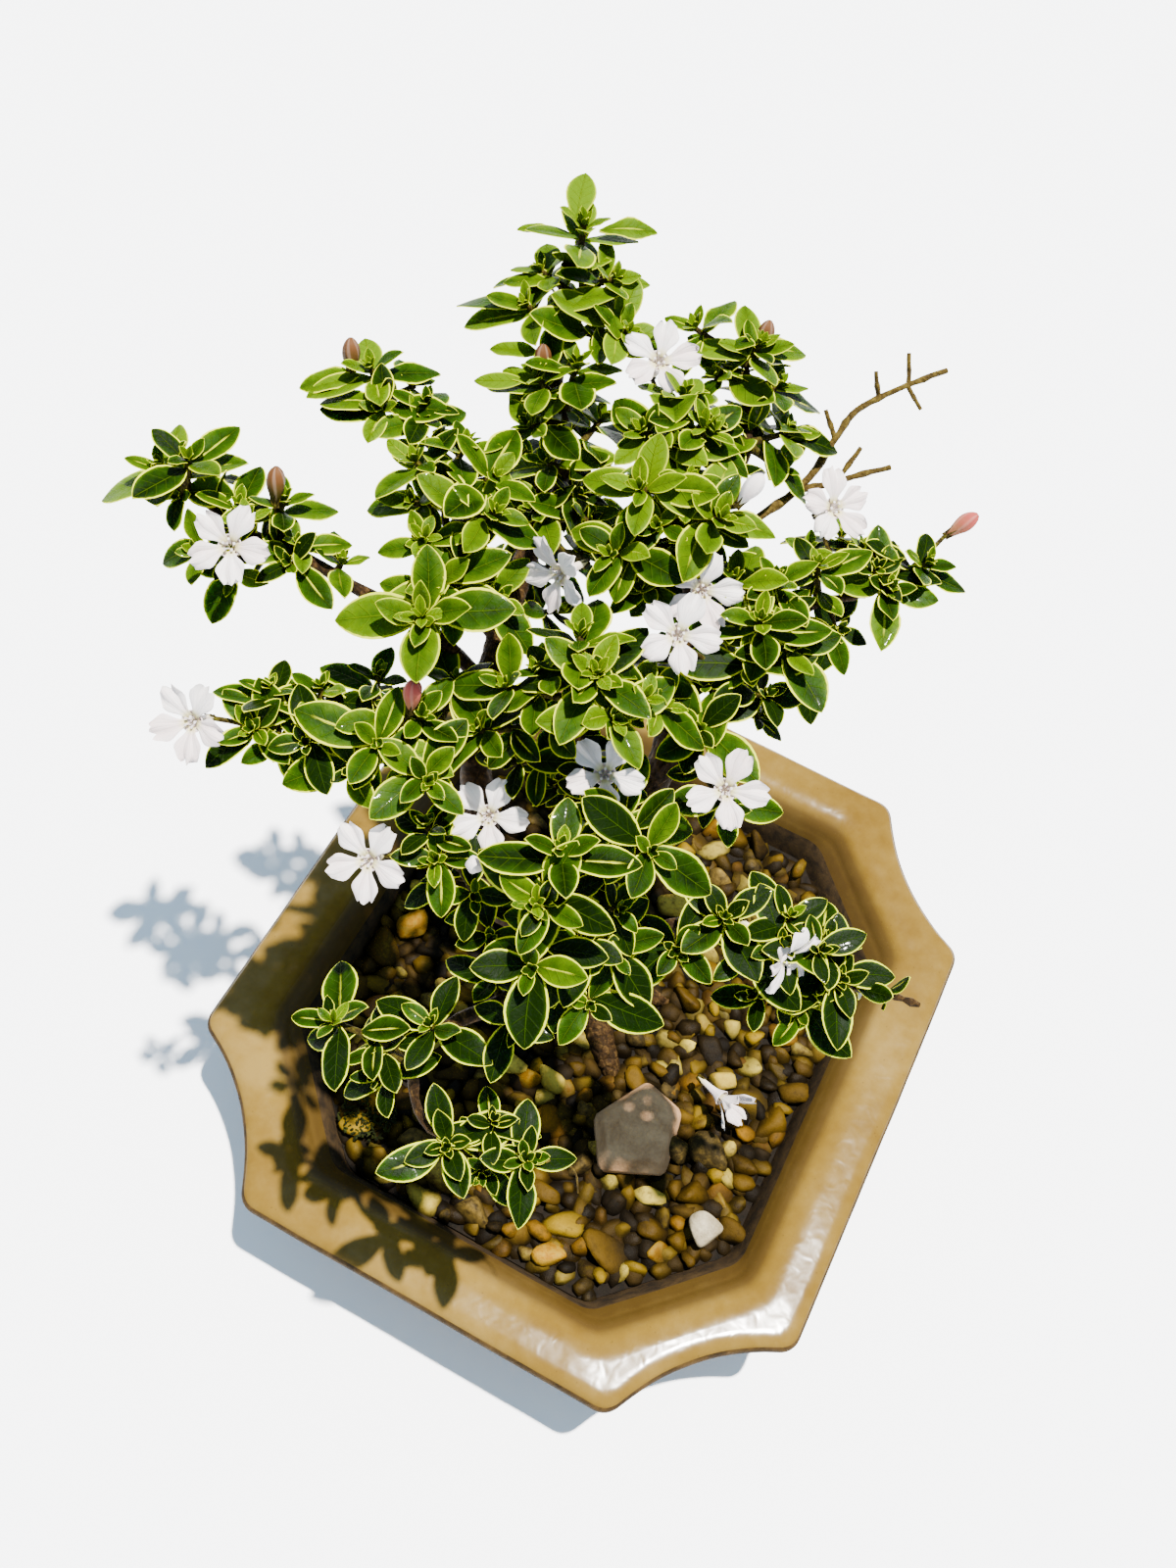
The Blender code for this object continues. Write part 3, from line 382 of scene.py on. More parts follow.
@dataclass(frozen=True)
class BudFinish:
    """Closed or dry petals, ribbed along their length; reads the map blade."""

    name: str
    base: Colour
    tip: Colour
    crest: Colour = paint(226, 200, 180)
    ribs: float = 5.0
    relief_mm: float = 0.10

    def material(self) -> bpy.types.Material:
        """Builds the bud's material."""
        g = Graph(self.name, Specular_IOR_Level=0.1)
        across, along = g.map_parts("blade")
        mottle = g.grain(1.2, 3.0, 0.6)
        ridges = ((across * self.ribs + along * 0.5) * (2.0 * math.pi)).sine()
        colour = g.mix((along + (mottle - 0.5) * 0.5).rises(0.15, 0.85), self.base, self.tip)
        g.feed(Base_Color=g.mix(ridges.rises(0.2, 1.0) * 0.08, colour, self.crest),
               Roughness=0.5 + mottle * 0.3)
        g.bump(ridges * 0.5 + mottle * 0.5, self.relief_mm)
        return g.material


@dataclass(frozen=True)
class BarkFinish:
    """Ridged bark in three tones, paler on its raised ridges and darker in its cracks."""

    name: str
    dark: Colour
    mid: Colour
    pale: Colour
    per_mm: float = 0.9
    drawn: Point = (1.0, 1.0, 0.32)
    relief_mm: float = 0.35

    def material(self) -> bpy.types.Material:
        """Builds the bark's material."""
        g = Graph(self.name, Specular_IOR_Level=0.08)
        drawn = g.stretched(self.drawn)
        ridges = g.grain(self.per_mm, 5.0, 0.65, drawn, 0.6)
        cracks = g.cells(self.per_mm * 0.7, "DISTANCE_TO_EDGE", drawn)
        fine = g.grain(self.per_mm * 5.0, 3.0, 0.6)
        colour = g.ramp(ridges + (fine - 0.5) * 0.3,
                        [(0.30, self.dark), (0.52, self.mid), (0.74, self.pale)])
        colour = g.mix((1.0 - cracks.rises(0.0, 0.10)) * 0.5, colour, self.dark)
        g.feed(Base_Color=colour, Roughness=0.62 + fine * 0.3)
        g.bump(ridges * 0.8 + fine * 0.25 + cracks.rises(0.0, 0.2) * 0.4, self.relief_mm)
        return g.material


@dataclass(frozen=True)
class GlazeFinish:
    """Ochre glaze: mottled deeper and paler in clouds, with dark specks, and painted shade under the
    lip and on the rim's sides below its top.
    """

    name: str = "ochre_glaze"
    body: Colour = paint(98, 76, 27)
    deep: Colour = paint(84, 62, 17)
    pale: Colour = paint(112, 90, 42)
    # The dark body colour, used for the specks and for the painted shade
    clay_and_shade: Colour = paint(44, 30, 12)
    under_lip_shade_rise: Pair = (20.5, 23.2)
    under_lip_shade_fall: Pair = (23.8, 25.2)
    lip_side_shade_rise: Pair = (23.5, 25.0)
    lip_rise: Pair = (26.6, 27.7)
    relief_mm: float = 0.28

    def material(self) -> bpy.types.Material:
        """Builds the glaze's material."""
        g = Graph(self.name, Specular_IOR_Level=0.12, Coat_Roughness=0.10, Coat_IOR=1.35)
        height = g.height()
        clouds = g.grain(0.035, 3.0, 0.55)
        mottle = g.grain(0.35, 4.0, 0.6)
        specks = (1.0 - g.cells(0.75).rises(0.05, 0.16)) * g.grain(0.2).rises(0.45, 0.62)
        colour = g.ramp(clouds * 0.75 + mottle * 0.25,
                        [(0.36, self.deep), (0.52, self.body), (0.68, self.pale)])
        colour = g.mix(specks * 0.35, colour, self.clay_and_shade)
        level = height + (mottle - 0.5) * 1.2
        # Painted shade: a dark band just under the lip
        colour = g.mix(level.band(self.under_lip_shade_rise, self.under_lip_shade_fall) * 0.75, colour, self.clay_and_shade)
        lip = height.rises(*self.lip_rise)
        # Painted shade: the rim's sides, below its flat top, darkened
        colour = g.mix((1.0 - lip) * level.rises(*self.lip_side_shade_rise) * 0.72, colour, self.clay_and_shade)
        g.feed(Base_Color=colour, Roughness=0.36 + mottle * 0.08 - lip * 0.24,
               Coat_Weight=lip * (mottle.rises(0.40, 0.62) * 0.24))
        g.bump(g.grain(0.10, 2.0) * 0.55 + g.grain(0.34, 1.0, distortion=0.6) * 0.16, self.relief_mm)
        return g.material


@dataclass(frozen=True)
class GritFinish:
    """Mixed stones: each takes its colour from the map tone, and lower down they are painted near black
    as the shade in the gaps between them.
    """

    name: str = "gravel"
    stops: tuple[tuple[float, Colour], ...] = (
        (0.00, paint(8, 5, 1)), (0.12, paint(34, 23, 2)), (0.28, paint(80, 58, 3)),
        (0.44, paint(116, 92, 8)), (0.55, paint(60, 44, 5)), (0.66, paint(124, 84, 2)),
        (0.80, paint(176, 154, 56)), (0.91, paint(98, 78, 32)), (1.00, paint(40, 32, 14)))
    stain: Colour = paint(30, 19, 5)
    fleck: Colour = paint(130, 112, 50)
    # Painted shade: the colour that stones take lower down, in the gaps between the upper stones
    gap_shade: Colour = paint(8, 5, 2)
    gap_shade_rise: Pair = (17.8, 21.4)
    relief_mm: float = 0.22

    def material(self) -> bpy.types.Material:
        """Builds the grit's material."""
        g = Graph(self.name, Specular_IOR_Level=0.06)
        pick, chance = g.map_parts("tone")
        mottle = g.grain(0.8, 4.0, 0.65)
        fine = g.grain(5.0, 3.0, 0.6)
        colour = g.ramp(pick + (mottle - 0.5) * 0.22, self.stops)
        colour = g.mix(mottle.rises(0.52, 0.72) * 0.4, colour, self.stain)
        colour = g.mix(fine.rises(0.58, 0.8) * 0.10, colour, self.fleck)
        # Painted shade: the lower a stone lies, the nearer it is painted to near black
        colour = g.mix((1.0 - g.height().rises(*self.gap_shade_rise)) * 0.9, colour, self.gap_shade)
        g.feed(Base_Color=colour, Roughness=0.38 + chance * 0.25 + fine * 0.2)
        g.bump(mottle * 0.7 + fine * 0.4, self.relief_mm)
        return g.material


@dataclass(frozen=True)
class StoneFinish:
    """One plain stone, clump or bed: two tones, veins and a grain of its own."""

    name: str
    dark: Colour
    light: Colour
    roughness: float = 0.6
    per_mm: float = 0.5
    relief_mm: float = 0.25
    shine: float = 0.15

    def material(self) -> bpy.types.Material:
        """Builds the stone's material."""
        g = Graph(self.name, Specular_IOR_Level=self.shine)
        clouds = g.grain(self.per_mm, 4.0, 0.6, distortion=0.4)
        fine = g.grain(self.per_mm * 9.0, 3.0, 0.65)
        colour = g.ramp(clouds + (fine - 0.5) * 0.25, [(0.34, self.dark), (0.66, self.light)])
        g.feed(Base_Color=colour, Roughness=self.roughness + (fine - 0.5) * 0.3)
        g.bump(clouds * 0.7 + fine * 0.5, self.relief_mm)
        return g.material


class Finish(Enum):
    """The finishes; a value names the material, and the slot of a piece that mostly has it."""

    GLAZE = "ochre_glaze"
    EDGE = "glaze_edge"
    SHADED_CLAY = "bare_clay"
    SCREEN = "screen_plastic"
    SOIL = "soil"
    GRIT = "gravel"
    STONE = "stone"
    AMBER = "amber_stone"
    PEBBLE = "white_stone"
    MOSS = "moss"
    BARK = "bark"
    SHOOT = "green_shoot"
    DEAD_WOOD = "dead_wood"
    LEAF = "variegated_leaf"
    PETAL = "white_petal"
    PINK_BUD = "pink_bud"
    BROWN_BUD = "brown_bud"


class Palette:
    """Every finish's material, made once."""

    def __init__(self) -> None:
        """Builds the materials."""
        recipes = (
            GlazeFinish(), GritFinish(), LeafFinish(), PetalFinish(),
            # The lip's outer face, painted dark as shade
            StoneFinish("glaze_edge", paint(34, 24, 9), paint(66, 48, 20), roughness=0.7, per_mm=0.3,
                        relief_mm=0.08, shine=0.04),
            # Unglazed pot body inside and under the pot, painted near black as shade
            StoneFinish("bare_clay", paint(26, 18, 8), paint(52, 38, 18), roughness=0.75, per_mm=0.4,
                        relief_mm=0.12),
            StoneFinish("screen_plastic", paint(24, 28, 24), paint(46, 50, 44), roughness=0.55,
                        per_mm=1.0, relief_mm=0.05),
            StoneFinish("soil", paint(7, 5, 2), paint(22, 15, 7), roughness=0.9, per_mm=0.6,
                        relief_mm=0.5),
            StoneFinish("stone", paint(136, 100, 66), paint(184, 146, 106), roughness=0.7, per_mm=0.16),
            StoneFinish("amber_stone", paint(66, 34, 3), paint(100, 64, 12), roughness=0.4, per_mm=0.3),
            StoneFinish("white_stone", paint(112, 100, 74), paint(172, 160, 132), roughness=0.5,
                        per_mm=0.2),
            StoneFinish("moss", paint(12, 16, 2), paint(48, 54, 3), roughness=0.95, per_mm=0.9,
                        relief_mm=0.6),
            BarkFinish("bark", paint(12, 7, 2), paint(42, 27, 9), paint(78, 58, 26)),
            BarkFinish("green_shoot", paint(28, 20, 4), paint(54, 46, 8), paint(80, 80, 12),
                       per_mm=1.6),
            BarkFinish("dead_wood", paint(40, 29, 8), paint(68, 54, 16), paint(96, 82, 30)),
            BudFinish("pink_bud", paint(132, 84, 56), paint(140, 60, 52)),
            BudFinish("brown_bud", paint(58, 50, 8), paint(82, 50, 22)))
        self.materials = {Finish(recipe.name): recipe.material() for recipe in recipes}

    def __getitem__(self, finish: Finish) -> bpy.types.Material:
        """The material of a finish."""
        return self.materials[finish]


# ------------------------------------------------------------------ shape tools


def placed(origin: Vector, axis: Vector, turn: float = 0.0) -> Matrix:
    """A matrix at origin whose Z runs along axis, turned about it by turn radians."""
    facing = Vector(axis).to_track_quat("Z", "Y").to_matrix().to_4x4()
    return Matrix.Translation(origin) @ facing @ Matrix.Rotation(turn, 4, "Z")


def spoke(turn: float, reach: float = 1.0, height: float = 0.0) -> Vector:
    """A point at this reach from the Z axis, turn radians round from X."""
    return Vector((reach * math.cos(turn), reach * math.sin(turn), height))


def compass(turn: float, rise: float) -> Vector:
    """The unit vector turn degrees round from +X and rise degrees up."""
    rise = math.radians(rise)
    return spoke(math.radians(turn), math.cos(rise), math.sin(rise))


def turns(count: int, start: float = 0.0) -> list[float]:
    """Evenly spaced turns all the way round from start, in radians."""
    return [FULL_TURN * index / count + start for index in range(count)]


def radial(axis: Vector, turn: float) -> Vector:
    """The unit vector square to an axis, turn degrees round it."""
    return placed(Vector(), axis, math.radians(turn)).to_3x3() @ Vector((1, 0, 0))


def between(values: Sequence[float], share: float) -> float:
    """A value read off evenly spaced ones, joined by straight lines.

    Args:
        values: The values, the first at 0 and the last at 1.
        share: Where to read, from 0 to 1.

    Returns:
        The value there.
    """
    place = min(max(share, 0.0), 1.0) * (len(values) - 1)
    index = min(int(place), len(values) - 2)
    return values[index] + (values[index + 1] - values[index]) * (place - index)


def smoothed(route: Sequence[Step], steps: int) -> list[Vector]:
    """A smooth curve through a route.

    Args:
        route: Points of (x, y, z, radius).
        steps: How many new points to each stretch.

    Returns:
        The curve's points, each with its radius as fourth number.
    """
    points = [Vector(p) for p in route]
    ends = [2 * points[0] - points[1]] + points + [2 * points[-1] - points[-2]]
    made = [points[0]]
    for a, b, c, d in zip(ends, ends[1:], ends[2:], ends[3:]):
        for i in range(1, steps + 1):
            t = i / steps
            made.append(0.5 * ((2 * b) + (c - a) * t + (2 * a - 5 * b + 4 * c - d) * t ** 2
                               + (3 * b - 3 * c + d - a) * t ** 3))
    return made


def nearest_on(stem: Sequence[Step], point: Vector) -> Vector:
    """The place along a stem that a shoot to this point springs from.

    A place higher than the point counts as farther, since shoots grow upward.

    Args:
        stem: The stem's route.
        point: The shoot's tip.

    Returns:
        The place.
    """
    found = []
    for a, b in zip(stem, stem[1:]):
        start, step = Vector(a[:3]), Vector(b[:3]) - Vector(a[:3])
        t = max(0.0, min(1.0, (point - start).dot(step) / step.length_squared))
        place = start + step * t
        found.append(((point - place).length + 2.0 * max(0.0, place.z - point.z), tuple(place)))
    return Vector(min(found)[1])


class Growth:
    """Gathers the closed shapes of one piece, in millimetres, with their finishes and maps.

    The map "blade" runs over each shape from 0 to 1 both ways, "tone" is one pair
    of numbers for each shape, and "OFBake" gives each shape its own cell, with
    gutters at its sides and its ends.
    """

    gutters: Pair = (0.06, 0.04)

    def __init__(self) -> None:
        """Starts with no shapes."""
        self.points: list[Vector] = []
        self.faces: list[tuple[int, ...]] = []
        self.finishes: list[Finish] = []
        self.corners: list[list[Pair]] = []
        self.tones: list[Pair] = []
        self.cells: list[int] = []
        self.cell_count = 0

    def loft(self, rings: Sequence[Sequence[Vector]], finish: Finish, tone: Pair = EVEN,
             across: Sequence[float] | None = None) -> None:
        """Joins rings of equal count and closes both ends.

        Args:
            rings: The rings, in order along the shape.
            finish: Its finish.
            tone: Its tone pair.
            across: The map's first number at each point of a ring and once more where it
                closes, by default evenly from 0 to 1.
        """
        first = len(self.points)
        count = len(rings[0])
        across = across or [j / count for j in range(count + 1)]
        for ring in rings:
            self.points.extend(ring)
        for i in range(len(rings) - 1):
            low, high = i / (len(rings) - 1), (i + 1) / (len(rings) - 1)
            for j in range(count):
                k = (j + 1) % count
                a = first + i * count
                left, right = across[j], across[j + 1]
                self.face((a + j, a + k, a + count + k, a + count + j), finish, tone,
                          [(left, low), (right, low), (right, high), (left, high)])
        last = first + (len(rings) - 1) * count
        for start, end, order in ((first, 0.0, range(count)[::-1]), (last, 1.0, range(count))):
            self.face(tuple(start + j for j in order), finish, tone, [(across[j], end) for j in order])
        self.cell_count += 1

    def face(self, corners: tuple[int, ...], finish: Finish, tone: Pair, places: list[Pair]) -> None:
        """Adds one face.

        Args:
            corners: Its points' numbers.
            finish: Its finish.
            tone: Its tone pair.
            places: Its corners' places on the map blade.
        """
        self.faces.append(corners)
        self.finishes.append(finish)
        self.tones.append(tone)
        self.corners.append(places)
        self.cells.append(self.cell_count)

    def sheet(self, at: Callable[[float, float], Vector], up: Vector, rows: int, columns: int,
              thick: float, finish: Finish, tone: Pair) -> None:
        """A thin closed blade with sharp edges.

        Args:
            at: The blade's middle surface for across from -1 to 1 and along from 0 to 1.
            up: The way its upper side faces.
            rows: How many spans it has along.
            columns: How many spans it has across.
            thick: Its thickness in the middle.
            finish: Its finish.
            tone: Its tone pair.
        """
        spans = [2.0 * j / columns - 1.0 for j in range(columns + 1)]
        rings = []
        for i in range(rows + 1):
            row = [at(across, i / rows) for across in spans]
            lift = [up * (thick / 2 * (1.0 - abs(across) ** 3)) for across in spans]
            top = [p + q for p, q in zip(row, lift)]
            under = [p - q for p, q in zip(row, lift)][1:-1]
            rings.append(top + under[::-1])
        turned = [across / 2 + 0.5 for across in spans]
        self.loft(rings, finish, tone, turned + turned[1:-1][::-1] + turned[:1])

    def tube(self, route: Sequence[Vector], sides: int, finish: Finish, rough: float = 0.0) -> None:
        """Round wood along a curve.

        Args:
            route: Its points, each with the radius as fourth number.
            sides: How many sides it has.
            finish: Its finish.
            rough: How uneven its surface is, as a share of its radius.
        """
        centres = [Vector(step[:3]) for step in route]
        ways = [(b - a).normalized() for a, b in zip(centres, centres[1:])]
        ways = [ways[0]] + [(a + b).normalized() for a, b in zip(ways, ways[1:])] + [ways[-1]]
        side = ways[0].orthogonal().normalized()
        rings = []
        for centre, way, step in zip(centres, ways, route):
            side = (side - way * side.dot(way)).normalized()
            over = way.cross(side)
            ring = []
            for turn in turns(sides):
                out = side * math.cos(turn) + over * math.sin(turn)
                swell = 1.0 + rough * noise.noise((centre + out * step[3]) * 0.9)
                ring.append(centre + out * (step[3] * swell))
            rings.append(ring)
        self.loft(rings, finish)

    def ball(self, places: Iterable[Vector], template: "Ball", finish: Finish,
             tone: Pair = EVEN) -> None:
        """A round shape from a ball's faces.

        Args:
            places: Where each of the ball's points goes.
            template: The ball.
            finish: Its finish.
            tone: Its tone pair.
        """
        first = len(self.points)
        self.points.extend(places)
        for corners in template.faces:
            seen = [template.points[c] for c in corners]
            self.face(tuple(first + c for c in corners), finish, tone,
                      [(0.5 + p.x * 0.5, 0.5 + p.y * 0.5) for p in seen])
        self.cell_count += 1

    def piece(self, name: str, palette: Palette, sharp: float = 60.0,
              tall_cells: bool = True) -> bpy.types.Object:
        """Makes the piece.

        Args:
            name: Its name.
            palette: The materials.
            sharp: Edges bent by more degrees than this stay sharp.
            tall_cells: Whether a cell of the map OFBake is twice as high as wide.

        Returns:
            The new object, in the frame.
        """
        mesh = bpy.data.meshes.new(name)
        mesh.from_pydata([metres(p) for p in self.points], [], self.faces)
        used = list(dict.fromkeys(self.finishes))
        for finish in used:
            mesh.materials.append(palette[finish])
        mesh.polygons.foreach_set("material_index", [used.index(finish) for finish in self.finishes])
        mesh.shade_smooth()
        mesh.set_sharp_from_angle(angle=math.radians(sharp))
        rows = max(1, math.ceil(math.sqrt(self.cell_count / (2.0 if tall_cells else 1.0))))
        columns = math.ceil(self.cell_count / rows)
        wide, high = (1.0 - 2.0 * gutter for gutter in self.gutters)
        atlas, blade, tone = [], [], []
        for places, pair, cell in zip(self.corners, self.tones, self.cells):
            left, low = cell % columns, cell // columns
            for u, v in places:
                atlas += [(left + self.gutters[0] + wide * u) / columns,
                          (low + self.gutters[1] + high * v) / rows]
                blade += [u, v]
                tone += pair
        for layer, values in (("OFBake", atlas), ("blade", blade), ("tone", tone)):
            mesh.uv_layers.new(name=layer).data.foreach_set("uv", values)
        mesh.uv_layers.active = mesh.uv_layers["OFBake"]
        return show(name, mesh)


class Ball:
    """An icosphere's points and faces, to shape stones from."""

    core: float = 0.62
    facet_depth: Pair = (0.72, 1.0)
    slab_sides: tuple[Pair, ...] = ((12, 0.84), (78, 0.90), (148, 0.76), (216, 0.88), (292, 0.80))

    def __init__(self, subdivisions: int) -> None:
        """Makes the ball.

        Args:
            subdivisions: How finely it is divided.
        """
        bm = bmesh.new()
        bmesh.ops.create_icosphere(bm, subdivisions=subdivisions, radius=1.0)
        self.points = [vert.co.copy() for vert in bm.verts]
        self.faces = [tuple(vert.index for vert in face.verts) for face in bm.faces]
        bm.free()

    def worn(self, rng: random.Random, facets: int = 9, soften: float = 9.0) -> list[Vector]:
        """The ball worn to a stone with soft facets.

        Args:
            rng: Where its chances come from.
            facets: How many facets it has.
            soften: A higher number gives crisper facets.

        Returns:
            The stone's points, about a unit across from the middle.
        """
        planes = []
        for _ in range(facets):
            way = Vector((rng.gauss(0, 1), rng.gauss(0, 1), rng.gauss(0, 1))).normalized()
            planes.append((way, rng.uniform(*self.facet_depth)))
        return self.cut(planes, soften)

    def slab(self, soften: float = 16.0) -> list[Vector]:
        """The ball cut to a flat stone with five sides."""
        sides = [(compass(turn, 14), depth) for turn, depth in self.slab_sides]
        return self.cut([(UP, 0.5), (-UP, 0.5)] + sides, soften)

    def cut(self, planes: Sequence[tuple[Vector, float]], soften: float) -> list[Vector]:
        """The ball's points drawn in to these planes.

        Args:
            planes: The way each plane faces and its distance from the middle.
            soften: A higher number gives crisper edges.

        Returns:
            The points.
        """
        made = []
        for point in self.points:
            reach = sum(max(0.0, point.dot(way) / depth) ** soften for way, depth in planes)
            made.append(point * (reach + self.core ** soften) ** (-1.0 / soften))
        return made


def show(name: str, data: bpy.types.ID | bmesh.types.BMesh) -> bpy.types.Object:
    """Puts a new object in the scene.

    Args:
        name: The object's name.
        data: Its mesh, lamp or lens; a mesh still being built is finished and freed.

    Returns:
        The object.
    """
    if isinstance(data, bmesh.types.BMesh):
        built, data = data, bpy.data.meshes.new(name)
        built.to_mesh(data)
        built.free()
    made = bpy.data.objects.new(name, data)
    bpy.context.scene.collection.objects.link(made)
    return made


def finished(made: bpy.types.Object, steps: Iterable[tuple[str, dict[str, object]]],
             *tools: bpy.types.Object) -> bpy.types.Mesh:
    """The mesh that an object has after some modifiers; the object and its tools are removed.

    Args:
        made: The object.
        steps: Each modifier's type and its settings.
        *tools: Objects that the modifiers use.

    Returns:
        The new mesh, shaded smooth.
    """
    for kind, settings in steps:
        modifier = made.modifiers.new(kind, kind)
        for key, value in settings.items():
            setattr(modifier, key, value)
    bpy.context.view_layer.update()
    graph = bpy.context.evaluated_depsgraph_get()
    mesh = bpy.data.meshes.new_from_object(made.evaluated_get(graph))
    for spent in (made, *tools):
        bpy.data.objects.remove(spent)
    mesh.shade_smooth()
    return mesh


def seat(made: bpy.types.Object, finish: Finish, *nodes: str) -> None:
    """Lets a piece ride on the plant's one body and stand for its solids.

    Args:
        made: The piece.
        finish: Not used.
        *nodes: The solids that it stands for.
    """
    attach(made, ROOT)
    if nodes:
        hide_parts(*nodes)
    LOG.info("%s: %d faces, for %s", made.name, len(made.data.polygons), ", ".join(nodes) or "detail")


# ------------------------------------------------------------------ the pot


@dataclass
class Pot:
    """The glazed tray: a lipped wall with hollow-cut corners, on four feet."""

    half: Pair = (60.0, 65.5)
    height: float = 28.0
    notch: float = 24.0
    hollow: float = 3.5
    corner: float = 2.6
    opening: Pair = (48.3, 54.2)
    chamfer: float = 20.0
    floor_half: Pair = (42.0, 47.5)
    floor_top: float = 8.0
    mouth_round: float = 1.5
    notch_ease: float = 0.42
    chamfer_ease: float = 0.586
    drains: Pair = (-20.0, 20.0)
    drain_radius: float = 5.5
    drain_depth: float = 12.0
    drain_sides: int = 40
    foot_size: Point = (19.0, 7.0, 5.0)
    foot_place: Pair = (33.5, 38.5)
    foot_round: float = 0.6
    round_points: int = 6
    bow_points: int = 14
    side_points: int = 18
    still_below: float = 6.0
    slow_wave: float = 0.045
    quick_wave: float = 0.16
    quick_share: float = 0.45
    wobble: float = 0.14
    shrunk: float = 0.9972
    sharp: float = 50.0
    edge_rise: Pair = (23.7, 27.0)
    # The wall's section: the outside and the mouth as pairs of how far in and how high,
    # the flat top between them in shares of its width, and the inside by its heights
    lip: tuple[Pair, ...] = (
        (13.5, 4.0), (12.9, 4.3), (12.5, 5.2), (11.0, 10.0), (9.2, 16.0), (7.6, 21.4), (7.0, 22.7),
        (6.1, 23.3), (5.0, 23.5), (3.0, 23.55), (1.4, 23.6), (0.6, 23.8), (0.12, 24.3), (0.0, 25.0),
        (0.0, 26.0), (0.15, 26.7), (0.55, 27.3), (1.1, 27.7), (1.9, 27.94), (3.0, 28.0))
    top: tuple[float, ...] = (0.2, 0.4, 0.6, 0.8)
    mouth: tuple[Pair, ...] = (
        (-5.2, 28.0), (-4.3, 27.94), (-3.3, 27.80), (-2.4, 27.60), (-1.6, 27.34), (-0.9, 27.0),
        (-0.2, 26.55), (0.4, 26.0), (0.9, 25.3), (1.5, 24.4))
    inside: tuple[float, ...] = (23.0, 19.0, 14.0, 8.0)

    def outline(self, half: Sequence[float], notch: float, hollow: float, z: float) -> list[Vector]:
        """A rectangle with hollow-cut, softly rounded corners.

        Args:
            half: Half its two sides.
            notch: How far along each side the cut starts.
            hollow: How far the cut bows in.
            z: Its height.

        Returns:
            Its points, round from +X.
        """
        x, y = half
        cuts = [((x, y - notch), (x - notch, y)), ((notch - x, y), (-x, y - notch)),
                ((-x, notch - y), (notch - x, -y)), ((x - notch, -y), (x, notch - y))]
        ring: list[Vector] = []
        for index, (first, second) in enumerate(cuts):
            a, b = Vector(first), Vector(second)
            inward = -((a + b) / 2).normalized()
            edge = self.corner / (b - a).length

            def bowed(t: float) -> Vector:
                """A point of the cut."""
                return a.lerp(b, t) + inward * (hollow * (1.0 - (2.0 * t - 1.0) ** 2))

            before = Vector(cuts[index - 1][1])
            after = Vector(cuts[(index + 1) % 4][0])
            start = a + (before - a).normalized() * self.corner
            end = b + (after - b).normalized() * self.corner
            bends = [i / self.round_points for i in range(self.round_points)]
            ring += [self.bend(start, a, bowed(edge), t) for t in bends]
            bow = [i / self.bow_points for i in range(self.bow_points)]
            ring += [bowed(edge + (1.0 - 2.0 * edge) * t) for t in bow]
            ring += [self.bend(bowed(1.0 - edge), b, end, t) for t in bends]
            following = after + (b - after).normalized() * self.corner
            ring += [end.lerp(following, i / self.side_points) for i in range(self.side_points)]
        return [Vector((p.x, p.y, z)) for p in ring]

    @staticmethod
    def bend(start: Vector, corner: Vector, end: Vector, t: float) -> Vector:
        """A point of the curve that rounds a corner."""
        return start * (1.0 - t) ** 2 + corner * (2.0 * t * (1.0 - t)) + end * t ** 2

    def cavity(self, z: float, clearance: float = 0.0) -> Pair:
        """Half the sides of the inner wall at a height, drawn in by a clearance."""
        share = (z - self.floor_top) / (self.height - self.mouth_round - self.floor_top)
        return tuple(low + (top - self.mouth_round - low) * share - clearance
                     for low, top in zip(self.floor_half, self.opening))

    def rings(self) -> list[list[Vector]]:
        """The wall's outlines, from the outside of the base round to the inside of the floor."""
        made = [self.outline([half - inset for half in self.half], self.notch - self.notch_ease * inset,
                             self.hollow, z) for inset, z in self.lip]
        mouth = [self.outline([half - inset for half in self.opening],
                              self.chamfer - self.chamfer_ease * inset, 0.0, z)
                 for inset, z in self.mouth]
        outer = made[-1]
        made += [[p.lerp(q, share) for p, q in zip(outer, mouth[0])] for share in self.top]
        made += mouth
        made += [self.outline(self.cavity(z), self.chamfer, 0.0, z) for z in self.inside]
        return [[self.uneven(p) for p in ring] for ring in made]

    def uneven(self, point: Vector) -> Vector:
        """The point moved a little, as a glazed wall dries."""
        if point.z < self.still_below:
            return point
        push = noise.noise_vector(point * self.slow_wave)
        push += noise.noise_vector(point * self.quick_wave) * self.quick_share
        fade = min(1.0, (self.height - point.z) * 0.5 + 0.55)
        inset = Vector((point.x * self.shrunk, point.y * self.shrunk, point.z))
        return inset + Vector((push.x, push.y, push.z * fade)) * self.wobble

    def foot(self, side: int, end: int) -> bpy.types.Object:
        """One foot, set across its corner.

        Args:
            side: 1 or -1 along X.
            end: 1 or -1 along Y.

        Returns:
            The foot, to be joined to the wall.
        """
        bm = bmesh.new()
        bmesh.ops.create_cube(bm, size=1.0)
        bmesh.ops.scale(bm, verts=bm.verts, vec=Vector(self.foot_size) * MM)
        bmesh.ops.bevel(bm, geom=list(bm.edges), offset=self.foot_round * MM, segments=3,
                        affect="EDGES", profile=0.5)
        place = Vector((side * self.foot_place[0], end * self.foot_place[1], self.foot_size[2] / 2))
        turn = Matrix.Rotation(math.radians(-45.0 * side * end), 4, "Z")
        bmesh.ops.transform(bm, matrix=Matrix.Translation(metres(place)) @ turn, verts=bm.verts)
        return show("foot", bm)

